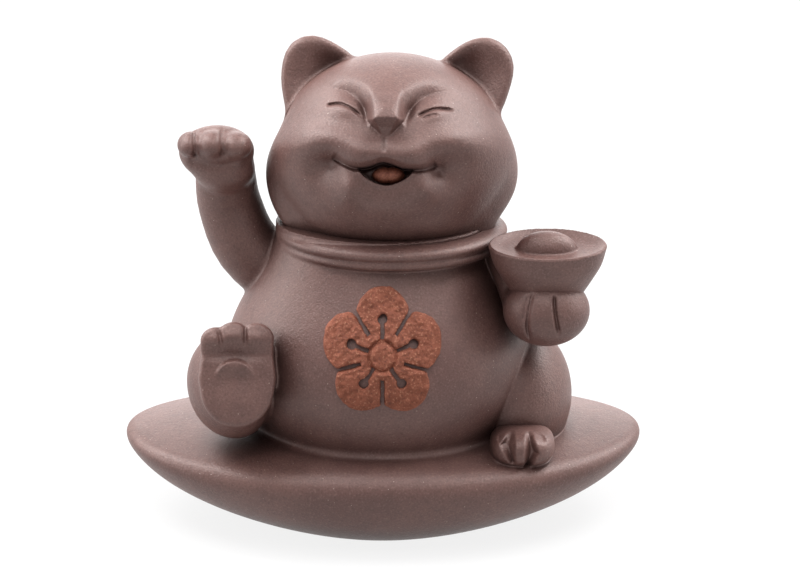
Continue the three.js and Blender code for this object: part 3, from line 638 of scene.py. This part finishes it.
def hand_ingot(p):
    x, y, z = (p - INGOT_MIDDLE).T
    z = z - INGOT_LEAN * y
    out = np.sqrt(x ** 2 + (y * INGOT_HALF / INGOT_HALF_DEPTH) ** 2)
    form = outline(np.stack([out, z], axis=1), INGOT_PROFILE) - INGOT_ROUND
    form = soft_join(form, egg(p, INGOT_MIDDLE + INGOT_DOME, INGOT_DOME_REACH), INGOT_DOME_BLEND)
    form = np.maximum(form, -torso_form(p) - BED)
    return np.maximum(form, -head_form(p) - BED)


# Holding arm: it comes forward from the shoulder, and its paw lies under the small ingot.
HOLDING_PATH = bend([(14.5, 2.5, 38.5), (20.5, 0.5, 38.3), (24.3, -4.6, 36.8), (24.9, -9.5, 36.2)], 4)
HOLDING_RADII = (5.0, 4.7)
HOLDING_FOREARM = bend([(18.8, -6.0, 43.4), (20.3, -9.3, 39.2), (21.8, -11.6, 34.8)], 4)
HOLDING_FOREARM_RADII = (3.1, 2.7)
HOLDING_FOREARM_BLEND = 0.6
HOLDING_PAW = np.array([24.9, -13.4, 36.3])
HOLDING_PAW_LOW = np.array([6.6, 6.0, 5.5])
HOLDING_PAW_HIGH = np.array([6.7, 7.0, 5.4])
HOLDING_PAW_BLEND = 0.9
HOLDING_FRONT = (-0.5, 1.5)
HOLDING_GROOVES = ((0.5, [(22.9, 40.6), (22.2, 38), (21.9, 35.2), (22.4, 32.6)]),
                   (0.25, [(22.2, 40.2), (21.6, 38), (21.3, 35.8)]),
                   (0.6, [(25.9, 40.2), (26.1, 37.4), (26.8, 33.6)]))


def holding_arm(p):
    forearm = roll(p, HOLDING_FOREARM, *HOLDING_FOREARM_RADII)
    form = soft_join(roll(p, HOLDING_PATH, *HOLDING_RADII), forearm, HOLDING_FOREARM_BLEND)
    paw = egg(p, HOLDING_PAW, HOLDING_PAW_LOW, HOLDING_PAW_HIGH)
    form = soft_join(form, paw, HOLDING_PAW_BLEND)
    front = ease(*HOLDING_FRONT, HOLDING_PAW[1] - p[:, 1])
    form = grooved(form, p, front, HOLDING_GROOVES)
    form = bedded(form, torso_form(p), ARM_FILLET)
    return np.maximum(form, -hand_ingot(p) - BED)


# Right leg: stretched forward so that its sole shows. Its own frame leans back with the sole.
SOLE_MIDDLE = np.array([-22.2, -21.4, 28.2])
SOLE_TILT = math.radians(17)
SOLE_THICKNESS = 5.0
SOLE_EDGE_ROUND = 0.9
SOLE_FRONT = (-3.5, -1.5)
# Outline of the sole: a round heel, a squarer ball, and toes given as across, up and radius.
SOLE_HALF = 5.6
HEEL_MIDDLE = (0.2, -1.6)
HEEL_HALF_HEIGHT = 6.0
BALL_MIDDLE = (0.2, 2.0)
BALL_HALF_HEIGHT = 3.6
BALL_CORNER = 1.8
BALL_BLEND = 1.5
SOLE_TOES = ((-3.1, 5.3, 2.15), (-0.35, 5.95, 2.35), (3.15, 5.6, 2.55))
SOLE_TOE_BLEND = 0.5
# Relief of the sole: the pad with its upper edge, the heel, the fold above the pad, and the toes.
PAD_MIDDLE = (-0.1, -1.5)
PAD_REACH = np.array([3.4, 4.2])
PAD_RELIEF = 0.7
PAD_EDGE = (-0.2, 0.45)
PAD_FADE = (-0.6, 2.2)
HEEL_RELIEF = 0.4
HEEL_SWELL = (0, -4.2)
HEEL_SPREAD = (3.8, 2.8)
FOLD_DEPTH = 0.6
FOLD_MIDDLE = (0, 3.3)
FOLD_SPREAD = (4.4, 0.9)
SOLE_GROOVES = ([(-2.65, 7.6), (-2.3, 6.0), (-2.0, 3.7)], [(1.45, 8.2), (1.5, 6.2), (1.65, 3.6)])
SOLE_GROOVE_DEPTH = 0.6
SOLE_GROOVE_WIDTH = 0.42
SOLE_GROOVE_FADE = 0.45
TOE_RELIEF = 0.8
TOE_RAISE = 0.3
TOE_SHARE = 0.8
TOE_HEIGHT = 1.3
# Haunch behind the sole.
HAUNCH_MIDDLE = (-0.2, 9.5, -0.7)
HAUNCH_LOW = np.array([7.7, 9.0, 9.0])
HAUNCH_HIGH = np.array([6.2, 12, 8.3])
HAUNCH_BLEND = 0.6
LEG_FILLET = 0.8


def sole_outline(flat):
    heel = egg(flat, HEEL_MIDDLE, np.array([SOLE_HALF, HEEL_HALF_HEIGHT]))
    ball = np.abs(flat - BALL_MIDDLE) - (SOLE_HALF - BALL_CORNER, BALL_HALF_HEIGHT - BALL_CORNER)
    ball = length(np.maximum(ball, 0)) + np.minimum(ball.max(axis=1), 0) - BALL_CORNER
    sole = soft_join(heel, ball, BALL_BLEND)
    for x, z, radius in SOLE_TOES:
        sole = soft_join(sole, length(flat - (x, z)) - radius, SOLE_TOE_BLEND)
    return sole


def sole_relief(form, flat, front):
    """The sole with its pad, fold and toes worked into the front."""
    pad = egg(flat, PAD_MIDDLE, PAD_REACH)
    form = form - PAD_RELIEF * front * ease(*PAD_EDGE, -pad) * ease(*PAD_FADE, flat[:, 1])
    form = form - HEEL_RELIEF * front * puff(flat, HEEL_SWELL, HEEL_SPREAD)
    form = form + FOLD_DEPTH * front * puff(flat, FOLD_MIDDLE, FOLD_SPREAD)
    for path in SOLE_GROOVES:
        groove = scratch(flat, bend(path, 3), SOLE_GROOVE_WIDTH, SOLE_GROOVE_FADE)
        form = form + SOLE_GROOVE_DEPTH * front * groove
    for x, z, radius in SOLE_TOES:
        toe = puff(flat, (x, z + TOE_RAISE), (radius * TOE_SHARE, TOE_HEIGHT))
        form = form - TOE_RELIEF * front * toe
    return form


def right_leg(p):
    q = turned(p, SOLE_MIDDLE, SOLE_TILT)
    flat = q[:, [0, 2]]
    slab = np.abs(q[:, 1] - SOLE_THICKNESS / 2) - SOLE_THICKNESS / 2
    form = soft_overlap(sole_outline(flat), slab, SOLE_EDGE_ROUND)
    form = sole_relief(form, flat, ease(*SOLE_FRONT, -q[:, 1]))
    form = soft_join(form, egg(q, HAUNCH_MIDDLE, HAUNCH_LOW, HAUNCH_HIGH), HAUNCH_BLEND)
    form = bedded(form, torso_form(p), LEG_FILLET)
    return bedded(form, seat_form(p), LEG_FILLET)


# Left leg: a folded thigh with the foot in front of it.
THIGH_MIDDLE = np.array([21.0, -2.8, 19.6])
THIGH_LOW = np.array([8.0, 11.6, 10.6])
THIGH_HIGH = np.array([8.5, 12, 10.9])
THIGH_TORSO_FILLET = 0.5
THIGH_SEAT_FILLET = 0.4


def thigh_form(p):
    return egg(p, THIGH_MIDDLE, THIGH_LOW, THIGH_HIGH)


def left_thigh(p):
    form = bedded(thigh_form(p), torso_form(p), THIGH_TORSO_FILLET)
    return bedded(form, seat_form(p), THIGH_SEAT_FILLET)


# Left foot: a flat, squarish lump with notches between its toes and a line along its upper edge.
LEFT_FOOT_MIDDLE = np.array([21.4, -15.4, 15.4])
LEFT_FOOT_REACH = np.array([5.0, 5.5, 2.7])
LEFT_FOOT_SQUARENESS = 2.7
# Turns shares of the reach into rough distances.
LEFT_FOOT_SCALE = 3.3
LEFT_FOOT_FRONT = (1.0, 3.0)
TOE_NOTCHES = ([(19.7, 18.3), (18.4, 16.6), (19.8, 14.2)], [(22.3, 18.1), (23.4, 15.6), (21.9, 12.9)])
TOE_NOTCH_DEPTH = 0.9
TOE_NOTCH_EDGE = (-0.7, 0.5)
LEFT_FOOT_EDGE = bend([(17.4, 16.9), (18.7, 18.0), (20.6, 18.4), (22.6, 18.2), (25.2, 16.9)], 4)
LEFT_FOOT_EDGE_DEPTH = 0.3
LEFT_FOOT_EDGE_WIDTH = 0.3
LEFT_FOOT_EDGE_FADE = 0.1
LEFT_FOOT_THIGH_ROUND = 0.2
LEFT_FOOT_FILLET = 0.5


def left_foot(p):
    off = (p - LEFT_FOOT_MIDDLE) / LEFT_FOOT_REACH
    share = (np.abs(off) ** LEFT_FOOT_SQUARENESS).sum(axis=1) ** (1 / LEFT_FOOT_SQUARENESS)
    form = (share - 1) * LEFT_FOOT_SCALE
    flat = p[:, [0, 2]]
    front = ease(*LEFT_FOOT_FRONT, LEFT_FOOT_MIDDLE[1] - p[:, 1])
    for corners in TOE_NOTCHES:
        form = form + TOE_NOTCH_DEPTH * front * ease(*TOE_NOTCH_EDGE, -outline(flat, np.array(corners)))
    line = scratch(flat, LEFT_FOOT_EDGE, LEFT_FOOT_EDGE_WIDTH, LEFT_FOOT_EDGE_FADE)
    form = form + LEFT_FOOT_EDGE_DEPTH * front * line
    form = soft_cut(form, thigh_form(p) + BED, LEFT_FOOT_THIGH_ROUND)
    form = np.maximum(form, -torso_form(p) - BED)
    return bedded(form, seat_form(p), LEFT_FOOT_FILLET)


# Tail: a short tapering roll that lies against the back.
TAIL_PATH = bend([(0, 15.5, 18.8), (4.3, 20.5, 18.8), (8.7, 20.5, 21.1), (13, 18.4, 25.8)], 4)
TAIL_RADII = (3.2, 2.1)
TAIL_FILLET = 0.4


def tail(p):
    form = bedded(roll(p, TAIL_PATH, *TAIL_RADII), torso_form(p), TAIL_FILLET)
    return np.maximum(form, -seat_form(p) - BED)


# Ornament: a five-petalled blossom in coarse red clay, laid on the belly.
BLOSSOM_MIDDLE = np.array([0, 31.6])
BLOSSOM_RELIEF = 0.8
BLOSSOM_EDGE_ROUND = 0.45
PETALS = 5
PETAL_RING = 5.2
PETAL_RADIUS = 4.0
HEART_RADIUS = 3.2
HEART_BLEND = 0.4
# Cuts between the petals, which begin this far out.
PARTING_HALF = 0.3
PARTING_START = 3.4
PARTING_ROUND = 0.2
# Stamens are cut in: a stem about a middle on each petal, with a bud at its end.
STEM_HALF = 0.32
STEM_MIDDLE = 3.4
STEM_HALF_LENGTH = 1.2
BUD_OUT = 4.9
BUD_RADIUS = 0.75
STAMEN_ROUND = 0.15
# A ring is pressed in round the heart.
HEART_RING = 2.05
HEART_RING_WIDTH = 0.3
HEART_RING_DEPTH = 0.45
# Grain of the red clay: its depth, its size and how far its draw is moved along.
FINE_GRIT = (0.1, 0.5, 0)
COARSE_GRIT = (0.08, 0.9, 40)
EDGE_GRIT = (0.1, 0.8, 90)


def gritty(p, depth, size, move):
    return depth * grit(p + move, size)


def blossom_outline(flat):
    out = length(flat)
    turn = np.arctan2(flat[:, 0], flat[:, 1])
    part = 2 * math.pi / PETALS
    within = turn - part * np.round(turn / part)
    petal = np.stack([out * np.sin(within), out * np.cos(within)], axis=1)
    edge = length(petal - (0, PETAL_RING)) - PETAL_RADIUS
    shape = soft_join(edge, out - HEART_RADIUS, HEART_BLEND)
    parting = np.abs(out * np.sin(part / 2 - np.abs(within)))
    shape = soft_cut(shape, np.maximum(parting - PARTING_HALF, PARTING_START - out), PARTING_ROUND)
    beside = np.abs(petal[:, 0]) - STEM_HALF
    stem = np.maximum(beside, np.abs(petal[:, 1] - STEM_MIDDLE) - STEM_HALF_LENGTH)
    bud = length(petal - (0, BUD_OUT)) - BUD_RADIUS
    return soft_cut(shape, np.minimum(stem, bud), STAMEN_ROUND)


def blossom(p):
    flat = p[:, [0, 2]] - BLOSSOM_MIDDLE
    shape = blossom_outline(flat)
    ring = np.exp(-((length(flat) - HEART_RING) / HEART_RING_WIDTH) ** 2)
    grain = gritty(p, *FINE_GRIT) + gritty(p, *COARSE_GRIT)
    belly = torso_form(p)
    top = belly - BLOSSOM_RELIEF + grain + HEART_RING_DEPTH * ring
    form = soft_overlap(shape + gritty(p, *EDGE_GRIT), top, BLOSSOM_EDGE_ROUND)
    form = np.maximum(form, -belly - BED)
    return np.maximum(form, p[:, 1])


# From form to mesh: a coarse look, a band around the skin that is worked finely, and settling steps.
COARSE_STEP = 4
BAND_SPARE = 1.5
SETTLE_STEPS = 2
SETTLE_REACH = 0.4
LEAST_SLOPE = 0.05
NUDGE = 0.02


def work_clay(form, low, high, grain):
    """Meshes a form: a coarse look finds its skin, and the points then settle on the skin itself."""
    count = np.ceil((high - low) / grain / COARSE_STEP).astype(int) * COARSE_STEP + 1
    axes = [low[i] + grain * np.arange(count[i]) for i in range(3)]
    coarse = np.stack(np.meshgrid(*(axis[::COARSE_STEP] for axis in axes), indexing="ij"), axis=-1)
    level = form(coarse.reshape(-1, 3)).reshape(coarse.shape[:3])
    for i in range(3):
        place = np.arange(count[i]) / COARSE_STEP
        before = np.minimum(place.astype(int), level.shape[i] - 2)
        share = (place - before).reshape([-1 if j == i else 1 for j in range(3)])
        level = np.take(level, before, axis=i) * (1 - share) + np.take(level, before + 1, axis=i) * share
    near = np.nonzero(np.abs(level) < grain * (COARSE_STEP + BAND_SPARE))
    points = np.stack([axes[i][near[i]] for i in range(3)], axis=1)
    level[near] = form(points)
    volume = openvdb.FloatGrid(1.0)
    volume.copyFromArray(level.astype(np.float32))
    spots, quads = volume.convertToQuads(0.0)
    spots = low + grain * spots.astype(float)
    spots = settle(form, spots, grain)
    facing = slope_of(form, spots)
    return spots, quads, facing / np.maximum(length(facing), TINY)[:, None]


def slope_of(form, spots):
    sides = [form(spots + step) - form(spots - step) for step in NUDGE * np.eye(3)]
    return np.stack(sides, axis=1) / (2 * NUDGE)


def settle(form, spots, grain):
    for _ in range(SETTLE_STEPS):
        here = form(spots)
        slope = slope_of(form, spots)
        steep = np.maximum(np.einsum("ij,ij->i", slope, slope), LEAST_SLOPE)
        shift = -slope * (here / steep)[:, None]
        reach = np.maximum(length(shift) / (SETTLE_REACH * grain), 1)
        spots = spots + shift / reach[:, None]
    return spots


def make_piece(node, form, grain, finish, room=ROOM):
    low, high = node_box(node)
    spots, quads, facing = work_clay(form, low - room, high + room, grain)
    mesh = bpy.data.meshes.new("worked_" + node)
    mesh.from_pydata((spots * MM).tolist(), [], quads.tolist())
    mesh.shade_smooth()
    mesh.normals_split_custom_set_from_vertices(facing.tolist())
    mesh.materials.append(finish)
    piece = bpy.data.objects.new("worked_" + node, mesh)
    bpy.context.collection.objects.link(piece)
    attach(piece, "root")
    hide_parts(node)


# Finishes

def paint(red, green, blue):
    """A colour as it looks, from 0 to 255, turned into light."""
    levels = [value / 255 for value in (red, green, blue)]
    return [v / 12.92 if v < 0.04045 else ((v + 0.055) / 1.055) ** 2.4 for v in levels] + [1]


class Shade:
    """A value that changes over the surface. Sums on it become Math nodes."""

    def __init__(self, finish, socket):
        self.finish = finish
        self.socket = socket

    def sum(self, operation, first, second):
        return self.finish.node("ShaderNodeMath", {"operation": operation}, {0: first, 1: second})

    def __add__(self, other):
        return self.sum("ADD", self, other)

    def __radd__(self, other):
        return self.sum("ADD", other, self)

    def __mul__(self, other):
        return self.sum("MULTIPLY", self, other)

    def __rmul__(self, other):
        return self.sum("MULTIPLY", other, self)


class Drawing:
    """A tree of shader nodes."""

    def __init__(self, tree, shader):
        self.tree = tree
        self.shader = tree.nodes[shader]

    def node(self, kind, settings=None, values=None, out=0):
        made = self.tree.nodes.new(kind)
        for name, value in (settings or {}).items():
            setattr(made, name, value)
        for name, value in (values or {}).items():
            self.feed(made.inputs[name], value)
        return Shade(self, made.outputs[out])

    def feed(self, socket, value):
        if isinstance(value, Shade):
            self.tree.links.new(value.socket, socket)
        else:
            socket.default_value = value


class Room(Drawing):
    """The studio's surroundings."""

    def __init__(self, name):
        self.world = bpy.data.worlds.new(name)
        self.world.use_nodes = True
        super().__init__(self.world.node_tree, "Background")


class Finish(Drawing):
    """A material on one principled shader, with a few ways to draw on it."""

    def __init__(self, name):
        self.material = bpy.data.materials.new(name)
        self.material.use_nodes = True
        super().__init__(self.material.node_tree, "Principled BSDF")
        self.place = self.node("ShaderNodeTexCoord", out="Object")

    def set(self, **values):
        for name, value in values.items():
            self.feed(self.shader.inputs[name.replace("_", " ")], value)

    def cloud(self, size, detail=2.0):
        """Soft noise whose patches are about this many millimetres wide."""
        values = {"Vector": self.place, "Scale": 1 / (size * MM), "Detail": detail}
        return self.node("ShaderNodeTexNoise", {}, values)

    def cells(self, size, out="Distance"):
        values = {"Vector": self.place, "Scale": 1 / (size * MM)}
        return self.node("ShaderNodeTexVoronoi", {}, values, out)

    def step(self, value, low, high):
        """Goes from 0 to 1 as a value goes from low to high."""
        values = {"Value": value, "From Min": low, "From Max": high}
        return self.node("ShaderNodeMapRange", {"interpolation_type": "SMOOTHSTEP"}, values)

    def mix(self, share, first, second):
        values = {0: share, 6: first, 7: second}
        return self.node("ShaderNodeMix", {"data_type": "RGBA"}, values, 2)

    def layer(self, body, noise, colour, edge, share):
        """A colour laid over the body where the noise runs from one edge to the other."""
        return self.mix(self.step(noise, *edge) * share, body, paint(*colour))

    def bump(self, height, depth):
        values = {"Height": height, "Distance": depth * MM, "Strength": 1.0}
        return self.node("ShaderNodeBump", {}, values)


# Colours are as they look, from 0 to 255, and noise is the size of its patches with their detail.
# A layer is its colour, the noise at which it begins and is full, and its share.

# Brown clay
CLAY_DEEP = (104, 73, 68)
CLAY_LIGHT = (116, 84, 78)
CLAY_DRIFT = (0.35, 0.65)
CLAY_PATCH = ((86, 60, 56), (0.42, 0.7), 0.35)
CLAY_SAND = ((140, 112, 106), (0.52, 0.75), 0.55)
CLAY_PORE = ((68, 47, 43), (0.46, 0.3), 0.45)
DRIFT_NOISE = (14, 3)
PATCH_NOISE = (2.2, 4)
SAND_NOISE = (0.3, 2)
SHEEN_NOISE = (0.5, 3)
LUMP_NOISE = (0.9, 2)
# Pale specks sit in some of the cells that the clay is parted into.
SPECK_COLOUR = (216, 198, 190)
SPECK_CELLS = 0.9
SPECK_EDGE = (0.1, 0.05)
SPECK_DRAW = (0.72, 0.76)
SPECK_SHARE = 0.8
# Painted shade: places that clay within this reach closes in are painted darker and redder, as shade in
# hollows, creases and between parts.
PAINTED_SHADE_REACH = 6
PAINTED_SHADE_RAYS = 8
CLAY_PAINTED_SHADE = ((52, 33, 30), (0.85, 0.2), 0.75)
CLAY_ROUGH = 0.36
CLAY_ROUGH_SPAN = 0.2
CLAY_GLOSS = 0.7
CLAY_TINT = (1, 0.86, 0.82, 1)
CLAY_BUMP = 0.11


def brown_clay():
    clay = Finish("worked_brown_clay")
    drift = clay.step(clay.cloud(*DRIFT_NOISE), *CLAY_DRIFT)
    body = clay.mix(drift, paint(*CLAY_DEEP), paint(*CLAY_LIGHT))
    body = clay.layer(body, clay.cloud(*PATCH_NOISE), *CLAY_PATCH)
    sand = clay.cloud(*SAND_NOISE)
    body = clay.layer(body, sand, *CLAY_SAND)
    body = clay.layer(body, sand, *CLAY_PORE)
    speck = clay.step(clay.cells(SPECK_CELLS), *SPECK_EDGE)
    draw = clay.node("ShaderNodeSeparateColor", {}, {0: clay.cells(SPECK_CELLS, "Color")})
    drawn = speck * clay.step(draw, *SPECK_DRAW)
    body = clay.mix(drawn * SPECK_SHARE, body, paint(*SPECK_COLOUR))
    # Painted shade: the colour darkens and reddens where nearby clay closes a place in.
    reach = {"Distance": PAINTED_SHADE_REACH * MM}
    openness_for_painted_shade = clay.node("ShaderNodeAmbientOcclusion", {"samples": PAINTED_SHADE_RAYS}, reach, "AO")
    body = clay.layer(body, openness_for_painted_shade, *CLAY_PAINTED_SHADE)
    rough = CLAY_ROUGH + CLAY_ROUGH_SPAN * clay.cloud(*SHEEN_NOISE)
    height = 0.6 * sand + 0.4 * clay.cloud(*LUMP_NOISE)
    clay.set(Base_Color=body, Roughness=rough, Normal=clay.bump(height, CLAY_BUMP))
    clay.set(Specular_IOR_Level=CLAY_GLOSS, Specular_Tint=CLAY_TINT)
    return clay.material


# Red clay of the ornament
RED_DEEP = (138, 78, 58)
RED_LIGHT = (160, 94, 72)
RED_DRIFT = (0.35, 0.65)
RED_SAND = ((206, 146, 118), (0.55, 0.72), 0.7)
RED_PORE = ((104, 60, 50), (0.45, 0.3), 0.7)
RED_PATCH_NOISE = (1.6, 4)
RED_GRAIN_NOISE = (0.32, 3)
RED_LUMP_NOISE = (0.7, 2)
RED_ROUGH = 0.68
RED_ROUGH_SPAN = 0.2
RED_GLOSS = 0.4
RED_BUMP = 0.14


def red_clay():
    clay = Finish("worked_red_clay")
    patch = clay.step(clay.cloud(*RED_PATCH_NOISE), *RED_DRIFT)
    body = clay.mix(patch, paint(*RED_DEEP), paint(*RED_LIGHT))
    grain = clay.cloud(*RED_GRAIN_NOISE)
    body = clay.layer(body, grain, *RED_SAND)
    body = clay.layer(body, grain, *RED_PORE)
    rough = RED_ROUGH + RED_ROUGH_SPAN * grain
    height = 0.7 * grain + 0.5 * clay.cloud(*RED_LUMP_NOISE)
    clay.set(Base_Color=body, Roughness=rough, Normal=clay.bump(height, RED_BUMP))
    clay.set(Specular_IOR_Level=RED_GLOSS)
    return clay.material


# Redder clay of the tongue
TONGUE_DEEP = (130, 74, 56)
TONGUE_LIGHT = (168, 104, 82)
TONGUE_DRIFT = (0.35, 0.7)
TONGUE_NOISE = (0.35, 3)
TONGUE_ROUGH = 0.55
TONGUE_ROUGH_SPAN = 0.2
TONGUE_BUMP = 0.05


def tongue_clay():
    clay = Finish("worked_tongue_clay")
    grain = clay.cloud(*TONGUE_NOISE)
    body = clay.mix(clay.step(grain, *TONGUE_DRIFT), paint(*TONGUE_DEEP), paint(*TONGUE_LIGHT))
    rough = TONGUE_ROUGH + TONGUE_ROUGH_SPAN * grain
    clay.set(Base_Color=body, Roughness=rough, Normal=clay.bump(grain, TONGUE_BUMP))
    return clay.material


# Studio: places in metres, and lamps as a name, a place, a size and a power.
WHITE = (255, 255, 255)
FLOOR_GREY = (165, 165, 165)
FLOOR_REACH = 1.5
FLOOR_GLOW = 0.85
FLOOR_ROUGH = 0.9
ROOM_LIGHT = 0.03
LAMP_TARGET = (0, 0, 0.035)
LAMPS = (
    ("right_overhead_softbox", (-0.32, 0.05, 0.6), 0.35, 2.3),
    ("left_overhead_softbox", (0.32, 0.05, 0.6), 0.35, 2.3),
    ("front_softbox", (0, -0.3, 0.65), 0.5, 1.4),
    ("back_softbox", (0, 0.8, 0.3), 0.6, 1.7),
    ("right_back_softbox", (-0.45, 0.3, 0.5), 0.4, 2.4),
    ("left_back_softbox", (0.45, 0.3, 0.5), 0.4, 2.4),
    ("right_panel", (-0.65, 0.05, 0.25), 0.45, 2.0),
    ("left_panel", (0.65, 0.05, 0.25), 0.45, 1.2),
)
CAMERA_TARGET = Vector((2.65, 0, 35)) * MM
CAMERA_TILT = math.radians(17)
CAMERA_DISTANCE = 0.62
CAMERA_LENS = 179.2
CAMERA_SENSOR = 36


def seen_as_white(drawing):
    """One where a ray comes from the eye, off a gloss or through glass, and nought elsewhere."""
    seen = drawing.node("ShaderNodeLightPath", out="Is Camera Ray")
    for kind in ("Is Glossy Ray", "Is Transmission Ray"):
        ray = drawing.node("ShaderNodeLightPath", out=kind)
        seen = drawing.node("ShaderNodeMath", {"operation": "MAXIMUM"}, {0: seen, 1: ray})
    return seen


def white_floor():
    """A white floor that keeps the shadow, and shows paler to the eye than it lights."""
    floor = Finish("studio_floor")
    seen = seen_as_white(floor)
    floor.set(Base_Color=floor.mix(seen, paint(*FLOOR_GREY), paint(*WHITE)), Roughness=FLOOR_ROUGH)
    glow = floor.node("ShaderNodeEmission", {}, {"Color": (1, 1, 1, 1)})
    base = Shade(floor, floor.shader.outputs["BSDF"])
    both = floor.node("ShaderNodeMixShader", {}, {0: seen * FLOOR_GLOW, 1: base, 2: glow})
    floor.feed(floor.tree.nodes["Material Output"].inputs["Surface"], both)
    return floor.material


def lay_floor():
    mesh = bpy.data.meshes.new("floor")
    sides = ((-1, -1), (1, -1), (1, 1), (-1, 1))
    corners = [(FLOOR_REACH * x, FLOOR_REACH * y, 0) for x, y in sides]
    mesh.from_pydata(corners, [], [(0, 1, 2, 3)])
    mesh.materials.append(white_floor())
    floor = bpy.data.objects.new("floor", mesh)
    bpy.context.collection.objects.link(floor)


def hang_lamp(name, place, size, power):
    lamp = bpy.data.lights.new(name, "AREA")
    lamp.shape = "DISK"
    lamp.size = size
    lamp.energy = power
    hung = bpy.data.objects.new(name, lamp)
    hung.location = place
    hung.rotation_euler = (Vector(LAMP_TARGET) - Vector(place)).to_track_quat("-Z", "Y").to_euler()
    bpy.context.collection.objects.link(hung)


def light_room():
    room = Room("studio")
    room.feed(room.shader.inputs["Color"], (1, 1, 1, 1))
    room.feed(room.shader.inputs["Strength"], ROOM_LIGHT + (1 - ROOM_LIGHT) * seen_as_white(room))
    bpy.context.scene.world = room.world
    for lamp in LAMPS:
        hang_lamp(*lamp)


def set_camera():
    """The eye of the photograph: straight ahead of the cat and a little above it."""
    camera = bpy.data.cameras.new("camera")
    camera.sensor_width = CAMERA_SENSOR
    camera.lens = CAMERA_LENS
    eye = bpy.data.objects.new("camera", camera)
    back = Vector((0, -math.cos(CAMERA_TILT), math.sin(CAMERA_TILT)))
    eye.location = CAMERA_TARGET + back * CAMERA_DISTANCE
    eye.rotation_euler = (math.pi / 2 - CAMERA_TILT, 0, 0)
    bpy.context.collection.objects.link(eye)
    bpy.context.scene.camera = eye


# Making
BROWN = brown_clay()
RED = red_clay()
TONGUE = tongue_clay()

make_piece("ingot_seat", seat, BROAD_GRAIN, BROWN)
make_piece("torso", torso, BODY_GRAIN, BROWN, WIDE_ROOM)
make_piece("neck_collar", collar, SMALL_GRAIN, BROWN)
make_piece("head", head, FACE_GRAIN, BROWN)
make_piece("tongue", tongue, FINE_GRAIN, TONGUE)
make_piece("right_ear", ear(RIGHT_EAR), SMALL_GRAIN, BROWN)
make_piece("left_ear", ear(LEFT_EAR), SMALL_GRAIN, BROWN)
make_piece("raised_arm", raised_arm, SMALL_GRAIN, BROWN)
make_piece("hand_ingot", hand_ingot, SMALL_GRAIN, BROWN)
make_piece("holding_arm", holding_arm, SMALL_GRAIN, BROWN)
make_piece("right_leg", right_leg, SMALL_GRAIN, BROWN)
make_piece("left_thigh", left_thigh, SMALL_GRAIN, BROWN, WIDE_ROOM)
make_piece("left_foot", left_foot, SMALL_GRAIN, BROWN)
make_piece("tail", tail, SMALL_GRAIN, BROWN)
make_piece("belly_blossom", blossom, FINE_GRAIN, RED)

lay_floor()
light_room()
set_camera()
bpy.context.scene.view_settings.view_transform = "Standard"
